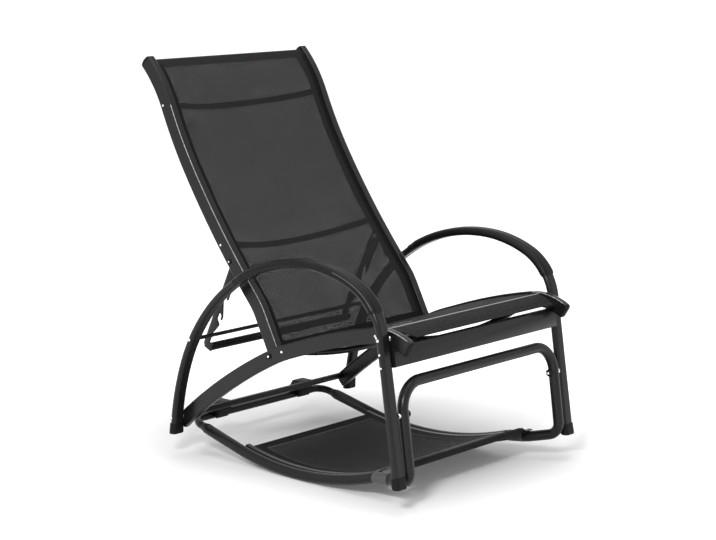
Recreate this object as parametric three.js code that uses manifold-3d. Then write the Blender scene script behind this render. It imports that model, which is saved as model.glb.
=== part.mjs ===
// Rocking chaise lounge: a reclining garden chair of bent aluminium tube with mesh slings.
// Its two curved runners and the foot panel between them swing out on the front legs.
//
// Millimetres, +Z up. The sitter faces -Y, the sitter's right is -X. The origin is on the
// floor that the runners stand on, midway between the side frames and under the middle of
// the chair's whole depth. Places in Y below are measured from near the middle of the feet;
// the last lines move the whole chair to its origin.

import * as THREE from 'three';
import { mergeVertices } from 'three/addons/utils/BufferGeometryUtils.js';
import Module from 'manifold-3d';

const wasm = await Module();
wasm.setup();

// shared clearances and facets
const touchGap = 0.3; // left between two pieces that touch
const runningGap = 0.5; // left round a shaft or a bar that turns or slides
const cutOverrun = 2; // how far every cut runs past its piece
const facetTurn = 7.5; // degrees of bend between two sections of a tube
const leastStepShare = 1e-5; // of a tube's length, between two sections
const roundSides = 12;
const smallSides = 10;

// side frames: one flat oval tube each, front leg, arm and rear leg
const overallWidth = 702;
const frameTubeWide = 35;
const frameTubeThick = 18;
const footHeight = 70; // the feet hang this far above the floor; other heights count from them
const frontFootY = -375.4;
const frontLegLean = 81.4; // degrees from level
const frontLegLength = 358;
const frontBendRadius = 154;
const frontBendTurn = 77;
const armLength = 78;
const armBendRadius = 414;
const armBendTurn = 32.9;
const shoulderRadius = 476;
const shoulderTurn = 41.1;
const rearLegRadius = 663;
const rearLegTurn = 15.5;
const rearLegReserve = 160; // straight tube past the last bend, cut off at the foot

// foot caps
const footCapWall = 2;
const footCapHeight = 27;
const footCapFloor = 3;

// arm pads: wrapped over the outer face of the tube
const armPadThick = 4;
const armPadFrontTurn = 21; // degrees into the front bend where the pad starts
const armPadLength = 497;
const armPadWrap = 28; // degrees the pad grips past the middle of the tube's edge

// seat rails: a deep flat tube with a slot that holds the sling's edge
const railDeep = 38;
const seatRailWide = 18;
const railCorner = 3;
const slotDepth = 5;
const slotWidth = 3.4;
const slotInset = 5; // from the rail's edge to the middle of the slot
const seatRailPastBolt = 9.6; // of rail behind the bolt in the rear leg
const seatRailUnderBolt = 10.4; // the rail's middle runs this far under that bolt
const seatRailRearHeading = 145.6;
const seatRailStrutLength = 320;
const seatRailLiftTurn = 15.2;
const seatRailLiftRadius = 490;
const seatRailStraight = 60;
const seatRailCrownTurn = 8.2;
const seatRailCrownRadius = 1605;
const seatRailFrontTurn = 40.7;
const seatRailFrontRadius = 155;
const railCapDepth = 8;

// crossbars of the chair
const apronHeight = 49;
const apronDepth = 20;
const apronAboveFoot = 280; // its lower edge, at the front legs
const apronForward = 6; // the apron stands this far in front of the legs' middle
const apronCorner = 4;
const apronNotchGap = 0.6; // round the seat rails, where its ends are cut out for them
const frontBarDiameter = 16;
const frontBarSag = 16;
const frontBarFromRailEnd = 92;
const seatBarDiameter = 16;
const seatBarFromPivot = 45.9; // forward along the rail from the back pivot
const seatBarAboveRailMiddle = 3;
const seatBarSag = 36;
const rearBarDiameter = 17;
const rearBarBehindLeg = 3.1; // behind the middle of the rear legs
const rearBarAboveFoot = 42;

// rest rod between the rear legs, which carries the back's toothed plates
const restRodDiameter = 10;
const restRodAboveFoot = 259;
const restBoltDiameter = 6; // through the leg, into the rod's end
const restBoltDepth = 18; // of bolt in the rod
const restBoltHeadDiameter = 12;
const restBoltHeadHeight = 4;

// bolts that hold the seat rails to the legs, with a collar in between
const railBoltDiameter = 6;
const railBoltHeadDiameter = 11;
const railBoltHeadHeight = 3;
const railBoltCollarDiameter = 15;
const railBoltEnd = 4; // of bolt past the rail

// back pivot on the seat rails
const backPivotAlongSeat = 387.4; // along the seat rail from its rear end
const backPivotAboveMiddle = 4.6; // over the rail's middle
const pivotBoltDiameter = 8;
const pivotHeadDiameter = 14;
const pivotHeadHeight = 4;
const pivotNutDiameter = 14;
const pivotNutHeight = 6;
const pivotWasherDiameter = 26;

// back rails
const backRailWide = 20;
const backRailGap = 2.7; // between the seat rail and the back rail
const backRailFoot = 11; // of tube past the pivot
const backRailPivotOffset = 4; // the pivot is this far on the sitter's side of the middle
const backRailLean = 62.9;
const backRailFootLength = 106.4;
const backRailHipTurn = 13.8;
const backRailHipRadius = 182;
const backRailLumbarTurn = 9;
const backRailLumbarRadius = 2393;
const backRailShoulderTurn = 8.8;
const backRailShoulderRadius = 1167;
const backRailHeadTurn = 21.7;
const backRailHeadRadius = 356;

// bars across the back
const topBarDiameter = 20;
const topBarInset = 17; // below the rails' top ends
const braceDiameter = 16;
const braceBow = 50;
const braceOffset = 8; // behind the middle of the rail
const upperBraceFromTop = 128;
const middleBraceAlong = 318; // along the rail from the pivot

// back support: two toothed plates and their crossbar, hung on the back rails
const supportAlongBack = 268.3; // along the back rail from the back pivot
const supportBehindMiddle = 6.9; // behind the rail's middle
const supportPlateThick = 4;
const supportCollar = 7; // between the back rail and the plate
const supportCollarDiameter = 14;
const supportHeadRadius = 16;
const plateRear = 24; // from the line of the notches to the plate's rear edge
const plateFront = 10.3; // from the line of the notches to the tips of the teeth
const notchPitch = 59.4;
const hookDrop = 10; // how far a hook's tip hangs past the rod
const supportBarDrop = 37; // from the rod at rest to the crossbar's middle
const supportBarHeight = 20;
const supportBarDepth = 14;
const supportBarCorner = 4;
const backBoltHeadHeight = 3;
const supportRatio = 0.85; // turn of the support for each turn of the back
const restClearance = 0.6;
const reclineTurn = 28; // degrees the back turns down from the rest notch

// rocker hinge on the front legs
const hingeAboveFoot = 167;
const hingeForward = 2.5; // in front of the leg's middle
const hingeBoltDiameter = 8;
const hingeBoltDepth = 10; // into the leg
const hingeSpacerDiameter = 16;
const hingeSpacerLength = 5.9; // between the leg and the hoop
const knobDiameter = 22;
const knobLength = 11;
const knobGap = 0.7; // the hoop starts to bend just above the knob

// front hoop of the rocker frame
const hoopDiameter = 27;
const hoopTopAbove = 72; // the top bar, above the hinge
const hoopTopBehind = 8.2; // and behind it
const hoopTopCorner = 67;
const hoopKneeForward = 24.3;
const hoopKneeDrop = 158;
const hoopKneeRadius = 46;
const hoopAnkleBehind = 56.7;
const hoopAnkleDrop = 175;
const hoopAnkleInset = 29.5; // toward the middle from the hoop's legs
const hoopAnkleRadius = 60;

// runners
const runnerDiameter = 28.5;
const runnerRadius = 845;
const runnerLowBehindHinge = 382.6; // where they touch the floor
const runnerFrontTurn = 15.7;
const runnerFrontStraight = 40;
const runnerRearTurn = 13.9;
const runnerFrontInset = 33; // toward the middle from the hoop's legs
const runnerRearInset = 47;

// rear loop bar, plugged on the runners' rear ends
const loopDiameter = 20;
const loopBehindRearBar = 28.9; // its middle, behind that of the rear crossbar
const loopPlug = 3; // of straight bar before the bend
const loopCorner = 36;

// clips that hold the loop bar under the rear crossbar
const clipWidth = 40;
const clipX = 157;
const clipWall = 6;
const clipTop = 9; // of block above the rear crossbar's middle

// foot panel between the runners
const panelRailWide = 16;
const panelRailTall = 18;
const panelRailCorner = 3;
const panelRailLift = 3; // above the runners' middle
const panelShortOfRunner = 151.1; // the side rails end this far before the runners
const panelRearBarDiameter = 12;
const panelRearBarInset = 16;
const panelFrontBarDiameter = 13;
const panelFrontBarBehindHinge = 55.6;
const panelTongueThick = 3;
const panelTongueLength = 24;
const panelTongueWide = 12;
const panelSag = 9;

// slings
const clothThick = 1.4;
const clothInSlot = 3;
const clothWrapGap = 0.6; // under a hem that goes round a bar
const backSag = 8;
const backHem = 31;
const backClothFromPivot = 34;
const seatSag = 14;
const seatClothFromPivot = 28.6; // forward along the rail
const seatClothFrontInset = 29.7; // of the front hem's ends from the rails
const seatClothTaper = 190; // of sling length over which it narrows to its front hem
const seatHemDrop = 8; // how far the front hem folds down
const seatHemTurn = 72; // degrees it turns there
const backHemTurn = 230; // degrees the back sling goes round the top bar

// looks of the materials
const paint = { color: 0x2c2d2f, roughness: 0.42, metalness: 0.55 };
const plastic = { color: 0x17181a, roughness: 0.62, metalness: 0 };
const cloth = { color: 0x232426, roughness: 0.9, metalness: 0 };
const zinc = { color: 0xb9bcc0, roughness: 0.3, metalness: 1 };

// places across the chair, from the outside in
const rad = Math.PI / 180;
const halfWidth = overallWidth / 2;
const frameX = halfWidth - frameTubeWide / 2;
const legInnerX = halfWidth - frameTubeWide;
const seatRailGap = footCapWall + touchGap; // the rails pass the foot caps' walls
const seatRailOuterX = legInnerX - seatRailGap;
const seatRailInnerX = seatRailOuterX - seatRailWide;
const seatRailX = (seatRailOuterX + seatRailInnerX) / 2;
const backRailOuterX = seatRailInnerX - backRailGap;
const backRailInnerX = backRailOuterX - backRailWide;
const backRailX = (backRailOuterX + backRailInnerX) / 2;
const plateOuterX = backRailInnerX - supportCollar;
const plateInnerX = plateOuterX - supportPlateThick;
const hoopRadius = hoopDiameter / 2;
const spacerInnerX = legInnerX - touchGap - hingeSpacerLength;
const hoopX = spacerInnerX - touchGap - hoopRadius;

// A tube's centre line in an upright plane, as a bend table: straights and arcs in turn.
// Headings run from +Y toward +Z; a positive turn bends the same way.
class BendTable {
  constructor(y, z, headingDegrees, moves) {
    this.segments = [];
    let s = 0;
    let h = headingDegrees * rad;
    for (const move of moves) {
      const turn = (move.turn ?? 0) * rad;
      const length = move.length ?? Math.abs(turn) * move.radius;
      const segment = { s, y, z, h, turn, length };
      this.segments.push(segment);
      const end = this.along(segment, length);
      y = end.y;
      z = end.z;
      h = end.h;
      s += length;
    }
    this.length = s;
  }

  along(segment, distance) {
    const { y, z, h, turn, length } = segment;
    if (turn === 0) {
      return { y: y + distance * Math.cos(h), z: z + distance * Math.sin(h), h };
    }
    const radius = length / turn;
    const end = h + distance / radius;
    return {
      y: y + radius * (Math.sin(end) - Math.sin(h)),
      z: z - radius * (Math.cos(end) - Math.cos(h)),
      h: end,
    };
  }

  at(s) {
    const held = Math.min(Math.max(s, 0), this.length);
    const segment = this.segments.findLast((one) => one.s <= held);
    return { s, ...this.along(segment, s - segment.s) };
  }

  // a point beside the centre line, positive to the left of its heading
  beside(s, offset) {
    const point = this.at(s);
    const y = point.y - offset * Math.sin(point.h);
    const z = point.z + offset * Math.cos(point.h);
    return { y, z, h: point.h, s };
  }

  stations(from = 0, to = this.length) {
    const marks = [from, to];
    for (const { s, turn, length } of this.segments) {
      const parts = Math.max(1, Math.ceil(Math.abs(turn) / rad / facetTurn));
      for (let i = 0; i <= parts; i += 1) marks.push(s + (length * i) / parts);
    }
    const least = this.length * leastStepShare;
    const inside = marks.filter((s) => s >= from && s <= to).sort((a, b) => a - b);
    return inside.filter((s, i) => i === 0 || s - inside[i - 1] > least).map((s) => this.at(s));
  }

  // where a coordinate passes a value, searched between two lengths
  where(axis, value, from = 0, to = this.length) {
    let low = from;
    let high = to;
    const rising = this.at(to)[axis] > this.at(from)[axis];
    for (let i = 0; i < 50; i += 1) {
      const middle = (low + high) / 2;
      if (this.at(middle)[axis] > value === rising) high = middle;
      else low = middle;
    }
    return low;
  }
}

// A centre line given by its stations, each with its own cross directions.
class StationCurve extends THREE.Curve {
  constructor(stations) {
    super();
    this.stations = stations;
  }

  getPoint(t) {
    const index = Math.round(t * (this.stations.length - 1));
    return this.stations[index].point.clone();
  }

  getSpacedPoints() {
    return this.stations.map((one) => one.point.clone());
  }

  computeFrenetFrames() {
    return {
      tangents: this.stations.map((one) => one.tangent.clone()),
      normals: this.stations.map((one) => one.normal.clone()),
      binormals: this.stations.map((one) => one.tangent.clone().cross(one.normal)),
    };
  }
}

function sweep(section, stations) {
  return new THREE.ExtrudeGeometry(section, {
    steps: stations.length - 1,
    extrudePath: new StationCurve(stations),
  });
}

// stations of a bend table in the upright plane at x, or at x given along the table
function uprightStations(places, x) {
  const lateral = typeof x === 'function' ? x : () => x;
  return places.map((one) => ({
    point: new THREE.Vector3(lateral(one), one.y, one.z),
    tangent: new THREE.Vector3(0, Math.cos(one.h), Math.sin(one.h)),
    normal: new THREE.Vector3(0, -Math.sin(one.h), Math.cos(one.h)),
  }));
}

// stations of a line through corners in space, each rounded with its own radius
function roundedStations(corners, radii, firstNormal) {
  const points = [];
  const last = corners.length - 1;
  corners.forEach((corner, i) => {
    const radius = radii[i];
    if (i === 0 || i === last || !radius) {
      points.push(corner.clone());
      return;
    }
    const back = corners[i - 1].clone().sub(corner).normalize();
    const ahead = corners[i + 1].clone().sub(corner).normalize();
    const turn = Math.PI - back.angleTo(ahead);
    const reach = radius * Math.tan(turn / 2);
    const middle = back.clone().add(ahead).normalize();
    const centre = corner.clone().addScaledVector(middle, radius / Math.cos(turn / 2));
    const start = corner.clone().addScaledVector(back, reach).sub(centre);
    const axis = start.clone().cross(corner.clone().addScaledVector(ahead, reach).sub(centre));
    axis.normalize();
    const parts = Math.max(2, Math.ceil(turn / rad / (2 * facetTurn)));
    for (let k = 0; k <= parts; k += 1) {
      points.push(start.clone().applyAxisAngle(axis, (turn * k) / parts).add(centre));
    }
  });
  return transported(points, firstNormal);
}

// carries the cross directions along a line of points without twist
function transported(points, firstNormal) {
  const last = points.length - 1;
  const tangents = points.map((point, i) => {
    const before = points[Math.max(0, i - 1)];
    const after = points[Math.min(last, i + 1)];
    const leaving = after.clone().sub(point);
    const arriving = point.clone().sub(before);
    if (i === 0) return leaving.normalize();
    if (i === last) return arriving.normalize();
    return leaving.normalize().add(arriving.normalize()).normalize();
  });
  let normal = firstNormal.clone();
  return points.map((point, i) => {
    const tangent = tangents[i];
    normal = normal.clone().addScaledVector(tangent, -normal.dot(tangent)).normalize();
    return { point, tangent, normal: normal.clone() };
  });
}

// squares an end station to a heading in the upright plane
function facing(station, heading, sign) {
  station.tangent.set(0, sign * Math.cos(heading), sign * Math.sin(heading));
  station.normal.set(0, -Math.sin(heading), Math.cos(heading));
}

function polygon(points) {
  return new THREE.Shape(points.map(([x, y]) => new THREE.Vector2(x, y)));
}

// a circle whose corners lie on the radius, or a bore whose flats do
function round(diameter, sides = roundSides, bore = false) {
  const radius = diameter / 2 / (bore ? Math.cos(Math.PI / sides) : 1);
  const points = [];
  for (let i = 0; i < sides; i += 1) {
    const angle = (2 * Math.PI * (i + 0.5)) / sides;
    points.push([radius * Math.cos(angle), radius * Math.sin(angle)]);
  }
  return polygon(points);
}

// the flat oval: straight faces across X, half round edges
function flatOval(wide, thick, margin = 0) {
  return polygon(ovalRun(wide, thick, margin, -90, 90).concat(
    ovalRun(wide, thick, margin, 90, 270),
  ));
}

// part of the flat oval's outline; 90 degrees is the middle of its +X edge
function ovalRun(wide, thick, margin, from, to, parts = 5) {
  const radius = thick / 2 + margin;
  const points = [];
  for (let i = 0; i <= parts; i += 1) {
    const angle = (from + ((to - from) * i) / parts) * rad;
    const centre = Math.sign(Math.cos((from + to) * rad / 2)) * (wide - thick) / 2;
    points.push([radius * Math.sin(angle), centre + radius * Math.cos(angle)]);
  }
  return points.reverse();
}

// a rectangle with rounded corners: u across the path, v along X
function roundedBox(u, v, corner, parts = 2) {
  const points = [];
  for (let quarter = 0; quarter < 4; quarter += 1) {
    const signU = quarter === 0 || quarter === 3 ? 1 : -1;
    const signV = quarter < 2 ? 1 : -1;
    for (let i = 0; i <= parts; i += 1) {
      const angle = (quarter * 90 + (90 * i) / parts) * rad;
      points.push([
        signU * (u / 2 - corner) + corner * Math.cos(angle),
        signV * (v / 2 - corner) + corner * Math.sin(angle),
      ]);
    }
  }
  return polygon(points);
}

// The deep rail's section. The slot opens toward +v, near the edge on the given side of u.
function slottedRail(wide, side) {
  const points = [];
  const corners = [[1, 1], [-1, 1], [-1, -1], [1, -1]];
  corners.forEach(([signU, signV], index) => {
    for (let i = 0; i <= 2; i += 1) {
      const angle = (index * 90 + 45 * i) * rad;
      points.push([
        signU * (railDeep / 2 - railCorner) + railCorner * Math.cos(angle),
        signV * (wide / 2 - railCorner) + railCorner * Math.sin(angle),
      ]);
    }
    if (index === 0) {
      const middle = side * (railDeep / 2 - slotInset);
      const face = wide / 2;
      points.push([middle + slotWidth / 2, face]);
      points.push([middle + slotWidth / 2, face - slotDepth]);
      points.push([middle - slotWidth / 2, face - slotDepth]);
      points.push([middle - slotWidth / 2, face]);
    }
  });
  return polygon(points);
}

function welded(geometry) {
  const bare = geometry.clone();
  for (const name of Object.keys(bare.attributes)) {
    if (name !== 'position') bare.deleteAttribute(name);
  }
  return mergeVertices(bare);
}

function solidOf(geometry) {
  const bare = welded(geometry);
  return new wasm.Manifold(new wasm.Mesh({
    numProp: 3,
    vertProperties: new Float32Array(bare.attributes.position.array),
    triVerts: new Uint32Array(bare.index.array),
  }));
}

function geometryOf(solid) {
  const mesh = solid.getMesh();
  const geometry = new THREE.BufferGeometry();
  geometry.setAttribute('position', new THREE.BufferAttribute(mesh.vertProperties, 3));
  geometry.setIndex(new THREE.BufferAttribute(mesh.triVerts, 1));
  return geometry;
}

function cut(geometry, ...tools) {
  const left = tools.reduce((solid, tool) => solid.subtract(solidOf(tool)), solidOf(geometry));
  return geometryOf(left);
}

function joined(first, ...others) {
  const whole = others.reduce((solid, one) => solid.add(solidOf(one)), solidOf(first));
  return geometryOf(whole);
}

// the same piece for the other side of the chair
function mirrored(geometry) {
  const bare = welded(geometry);
  bare.scale(-1, 1, 1);
  const index = bare.index.array;
  for (let i = 0; i < index.length; i += 3) {
    const first = index[i];
    index[i] = index[i + 1];
    index[i + 1] = first;
  }
  return bare;
}

// a round bar or bore along X
function barX(diameter, fromX, toX, y, z, sides = roundSides, bore = false) {
  const geometry = new THREE.ExtrudeGeometry(round(diameter, sides, bore), {
    depth: toX - fromX,
    steps: 1,
    bevelEnabled: false,
  });
  geometry.rotateY(Math.PI / 2);
  return geometry.translate(fromX, y, z);
}

// an outline given in Y and Z, as thick along X as asked
function slabX(points, fromX, toX) {
  const outline = polygon(points.map(({ y, z }) => [y, z]));
  const geometry = new THREE.ExtrudeGeometry(outline, {
    depth: toX - fromX,
    steps: 1,
    bevelEnabled: false,
  });
  geometry.rotateX(Math.PI / 2);
  geometry.rotateZ(Math.PI / 2);
  return geometry.translate(fromX, 0, 0);
}

// a bar between two side faces, bowed toward a direction in the middle
function bowedBar(section, halfLength, y, z, bow, towardY, towardZ, firstNormal) {
  const parts = 12;
  const points = [];
  for (let i = 0; i <= parts; i += 1) {
    const share = (2 * i) / parts - 1;
    const depth = bow * (1 - share * share);
    points.push(new THREE.Vector3(
      share * halfLength,
      y + towardY * depth,
      z + towardZ * depth,
    ));
  }
  const stations = transported(points, firstNormal);
  for (const end of [stations[0], stations[parts]]) {
    end.tangent.set(1, 0, 0);
    end.normal.setX(0).normalize();
  }
  return sweep(section, stations);
}

// a sheet lofted across X: every column is one closed outline of as many points
function loftedCloth(columns) {
  const ring = columns[0].outline.length;
  const position = [];
  for (const { outline } of columns) {
    for (const { x, y, z } of outline) position.push(x, y, z);
  }
  const index = [];
  for (let c = 0; c + 1 < columns.length; c += 1) {
    for (let i = 0; i < ring; i += 1) {
      const a = c * ring + i;
      const b = c * ring + ((i + 1) % ring);
      index.push(a, b, a + ring, b, b + ring, a + ring);
    }
  }
  const flat = columns[0].outline.map(({ y, z }) => new THREE.Vector2(y, z));
  const faces = THREE.ShapeUtils.triangulateShape(flat, []);
  const top = (columns.length - 1) * ring;
  for (const [a, b, c] of faces) {
    index.push(a, c, b);
    index.push(top + a, top + b, top + c);
  }
  const geometry = new THREE.BufferGeometry();
  geometry.setAttribute('position', new THREE.Float32BufferAttribute(position, 3));
  geometry.setIndex(index);
  return geometry;
}

const chair = new THREE.Group();

function place(name, geometry, look) {
  const clean = welded(geometry);
  clean.computeVertexNormals();
  const mesh = new THREE.Mesh(clean, new THREE.MeshStandardMaterial(look));
  mesh.name = name;
  chair.add(mesh);
}

function placePair(name, rightGeometry, look) {
  place(`${name}_right`, rightGeometry, look);
  place(`${name}_left`, mirrored(rightGeometry), look);
}

const sideFull = new BendTable(frontFootY, footHeight, frontLegLean, [
  { length: frontLegLength },
  { turn: -frontBendTurn, radius: frontBendRadius },
  { length: armLength },
  { turn: -armBendTurn, radius: armBendRadius },
  { turn: -shoulderTurn, radius: shoulderRadius },
  { turn: -rearLegTurn, radius: rearLegRadius },
  { length: rearLegReserve },
]);
const armTopS = frontLegLength + frontBendTurn * rad * frontBendRadius + armLength;
const rearFootS = sideFull.where('z', footHeight, armTopS);
const legLean = Math.cos(frontLegLean * rad) * frameTubeThick / 2;
const tubeStartS = footCapFloor + legLean;
const tubeEndS = rearFootS - tubeStartS;

// the rear crossbar and the seat rails' rear ends share one bolt through each rear leg
const rearBarZ = footHeight + rearBarAboveFoot;
const rearBarY = sideFull.at(sideFull.where('z', rearBarZ, armTopS)).y + rearBarBehindLeg;
const rearJoint = { y: rearBarY, z: rearBarZ };

// the seat rail runs from the rear foot forward, so its top is on the right of its heading
const seatRise = seatRailRearHeading * rad;
const seatStart = {
  y: rearBarY - seatRailPastBolt * Math.cos(seatRise) - seatRailUnderBolt * Math.sin(seatRise),
  z: rearBarZ - seatRailPastBolt * Math.sin(seatRise) + seatRailUnderBolt * Math.cos(seatRise),
};
const seatPath = new BendTable(seatStart.y, seatStart.z, seatRailRearHeading, [
  { length: seatRailStrutLength },
  { turn: seatRailLiftTurn, radius: seatRailLiftRadius },
  { length: seatRailStraight },
  { turn: seatRailCrownTurn, radius: seatRailCrownRadius },
  { turn: seatRailFrontTurn, radius: seatRailFrontRadius },
]);

// the seat rail is bolted to the front leg where their middles cross
function legCrossing() {
  const above = (s) => {
    const leg = sideFull.at(s);
    return leg.z - seatPath.at(seatPath.where('y', leg.y)).z;
  };
  let low = 0;
  let high = frontLegLength + frontBendTurn * rad * frontBendRadius / 2;
  for (let i = 0; i < 40; i += 1) {
    const middle = (low + high) / 2;
    if (above(middle) > 0) high = middle;
    else low = middle;
  }
  return sideFull.at(low);
}
const frontJoint = legCrossing();
const boreX = (diameter, fromX, toX, where) => (
  barX(diameter + touchGap * 2, fromX, toX, where.y, where.z, smallSides, true)
);

const hingeZ = footHeight + hingeAboveFoot;
const hingeS = sideFull.where('z', hingeZ, 0, frontLegLength);
const hinge = { y: sideFull.at(hingeS).y - hingeForward, z: hingeZ };
const rodS = sideFull.where('z', footHeight + restRodAboveFoot, armTopS, rearFootS);
const rod = sideFull.at(rodS);

const sideStations = sideFull.stations(tubeStartS, tubeEndS);
const sideTube = sweep(
  flatOval(frameTubeWide, frameTubeThick),
  uprightStations(sideStations, -frameX),
);
const throughLeg = [-halfWidth - cutOverrun, -legInnerX + cutOverrun];
placePair('side_frame', cut(
  sideTube,
  boreX(restBoltDiameter, ...throughLeg, rod),
  boreX(railBoltDiameter, ...throughLeg, frontJoint),
  boreX(railBoltDiameter, ...throughLeg, rearJoint),
  boreX(
    hingeBoltDiameter, -legInnerX - hingeBoltDepth - touchGap, -legInnerX + cutOverrun, hinge,
  ),
), paint);

// foot caps: the tube's outline with a wall round it, cut level at the foot
function footCap(footS, upward) {
  const outer = flatOval(frameTubeWide, frameTubeThick, footCapWall);
  const wall = [footS - footCapFloor * upward, footS + footCapHeight * upward]
    .sort((a, b) => a - b)
    .map((s) => sideFull.at(s));
  const pocket = sweep(
    flatOval(frameTubeWide, frameTubeThick, touchGap),
    uprightStations([
      sideFull.at(tubeStartS - touchGap),
      ...sideStations.slice(1, -1),
      sideFull.at(tubeEndS + touchGap),
    ], -frameX),
  );
  const level = slabX([
    { y: -halfWidth * 2, z: footHeight - footCapHeight * 2 },
    { y: halfWidth * 2, z: footHeight - footCapHeight * 2 },
    { y: halfWidth * 2, z: footHeight },
    { y: -halfWidth * 2, z: footHeight },
  ], -halfWidth * 2, halfWidth);
  return cut(sweep(outer, uprightStations(wall, -frameX)), pocket, level);
}

placePair('foot_cap_front', footCap(0, 1), plastic);
placePair('foot_cap_rear', footCap(rearFootS, -1), plastic);

// arm pads: a gutter over the outside of the arm
const padStartS = frontLegLength + armPadFrontTurn * rad * frontBendRadius;
const padSection = polygon([
  ...ovalRun(frameTubeWide, frameTubeThick, armPadThick, 90, 180 + armPadWrap, 6),
  ...ovalRun(frameTubeWide, frameTubeThick, armPadThick, -armPadWrap, 90, 6),
  ...ovalRun(frameTubeWide, frameTubeThick, touchGap, -armPadWrap, 90, 6).reverse(),
  ...ovalRun(frameTubeWide, frameTubeThick, touchGap, 90, 180 + armPadWrap, 6).reverse(),
]);
placePair('arm_pad', sweep(padSection, uprightStations(
  sideStations.filter(({ s }) => s >= padStartS && s <= padStartS + armPadLength), -frameX,
)), plastic);

const seatStations = seatPath.stations();
const pivot = seatPath.beside(backPivotAlongSeat, -backPivotAboveMiddle);
const throughSeatRail = [-seatRailOuterX - cutOverrun, -seatRailInnerX + cutOverrun];

placePair('seat_rail', cut(
  sweep(slottedRail(seatRailWide, -1), uprightStations(seatStations, -seatRailX)),
  boreX(pivotBoltDiameter, ...throughSeatRail, pivot),
  boreX(railBoltDiameter, ...throughSeatRail, frontJoint),
  boreX(railBoltDiameter, ...throughSeatRail, rearJoint),
), paint);

// a rounded plug on a rail's end; outward is +1 past the last section, -1 before the first
function railCap(end, outward, depth, fromX, toX) {
  const parts = 8;
  const half = railDeep / 2;
  const outline = [];
  for (let i = 0; i <= parts; i += 1) {
    const angle = Math.PI * (i / parts - 1 / 2);
    const reach = touchGap + depth * Math.cos(angle);
    const side = half * Math.sin(angle);
    outline.push({
      y: end.y + outward * reach * Math.cos(end.h) - side * Math.sin(end.h),
      z: end.z + outward * reach * Math.sin(end.h) + side * Math.cos(end.h),
    });
  }
  return slabX(outward > 0 ? outline : outline.reverse(), fromX, toX);
}

const seatFrontEnd = seatPath.at(seatPath.length);
placePair('seat_rail_front_cap', railCap(
  seatFrontEnd, 1, railCapDepth, -seatRailOuterX, -seatRailInnerX,
), plastic);
placePair('seat_rail_rear_cap', railCap(
  seatPath.at(0), -1, railCapDepth, -seatRailOuterX, -seatRailInnerX,
), plastic);

const apronZ = footHeight + apronAboveFoot + apronHeight / 2;
const apronS = sideFull.where('z', apronZ, 0, frontLegLength);
const apronPlace = sideFull.beside(apronS, apronForward);
const apronEnds = [-legInnerX + touchGap, legInnerX - touchGap].map((x) => ({
  point: new THREE.Vector3(x, apronPlace.y, apronPlace.z),
  tangent: new THREE.Vector3(1, 0, 0),
  normal: new THREE.Vector3(0, -Math.cos(apronPlace.h), -Math.sin(apronPlace.h)),
}));
const railEnvelope = sweep(
  roundedBox(railDeep + apronNotchGap * 2, seatRailWide + apronNotchGap * 2, railCorner),
  uprightStations(seatStations, -seatRailX),
);
place('front_apron', cut(
  sweep(roundedBox(apronHeight, apronDepth, apronCorner), apronEnds),
  railEnvelope,
  mirrored(railEnvelope),
), paint);

const seatBarHalf = seatRailInnerX - touchGap;
const up = new THREE.Vector3(0, 0, 1);
const frontBar = seatPath.at(seatPath.length - frontBarFromRailEnd);
place('front_crossbar', bowedBar(
  round(frontBarDiameter, smallSides), seatBarHalf, frontBar.y, frontBar.z, frontBarSag, 0, -1, up,
), paint);

const seatBarS = backPivotAlongSeat + seatBarFromPivot;
const seatBar = seatPath.beside(seatBarS, -seatBarAboveRailMiddle);
place('seat_crossbar', bowedBar(
  round(seatBarDiameter, smallSides), seatBarHalf, seatBar.y, seatBar.z, seatBarSag, 0, -1, up,
), paint);

// the rear crossbar takes the ends of its bolts
const rearBolt = { from: seatRailInnerX + touchGap - railBoltEnd, to: halfWidth + touchGap };
place('rear_crossbar', cut(
  barX(rearBarDiameter, -seatBarHalf, seatBarHalf, rearBarY, rearBarZ),
  boreX(railBoltDiameter, -seatBarHalf - cutOverrun, -rearBolt.from + touchGap, rearJoint),
  boreX(railBoltDiameter, rearBolt.from - touchGap, seatBarHalf + cutOverrun, rearJoint),
), paint);

function railBolt(where, innerX) {
  return joined(
    barX(
      railBoltDiameter, -halfWidth - touchGap * 2, -innerX, where.y, where.z, smallSides,
    ),
    barX(
      railBoltHeadDiameter, -halfWidth - touchGap - railBoltHeadHeight, -halfWidth - touchGap,
      where.y, where.z,
    ),
    barX(
      railBoltCollarDiameter, -legInnerX + touchGap, -seatRailOuterX - touchGap,
      where.y, where.z,
    ),
  );
}
placePair('rail_bolt_front', railBolt(frontJoint, seatRailInnerX - railBoltEnd), zinc);
placePair('rail_bolt_rear', railBolt(rearJoint, rearBolt.from), zinc);

// the rod stands between the rear legs, on a bolt through each
const rodEndX = legInnerX - touchGap;
const rodBoltX = rodEndX - restBoltDepth;
place('rest_rod', cut(
  barX(restRodDiameter, -rodEndX, rodEndX, rod.y, rod.z, smallSides),
  boreX(restBoltDiameter, -rodEndX - cutOverrun, -rodBoltX + touchGap, rod),
  boreX(restBoltDiameter, rodBoltX - touchGap, rodEndX + cutOverrun, rod),
), paint);
placePair('rest_rod_bolt', joined(
  barX(restBoltDiameter, -halfWidth - touchGap * 2, -rodBoltX, rod.y, rod.z, smallSides),
  barX(
    restBoltHeadDiameter, -halfWidth - touchGap - restBoltHeadHeight, -halfWidth - touchGap,
    rod.y, rod.z,
  ),
), zinc);

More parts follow.
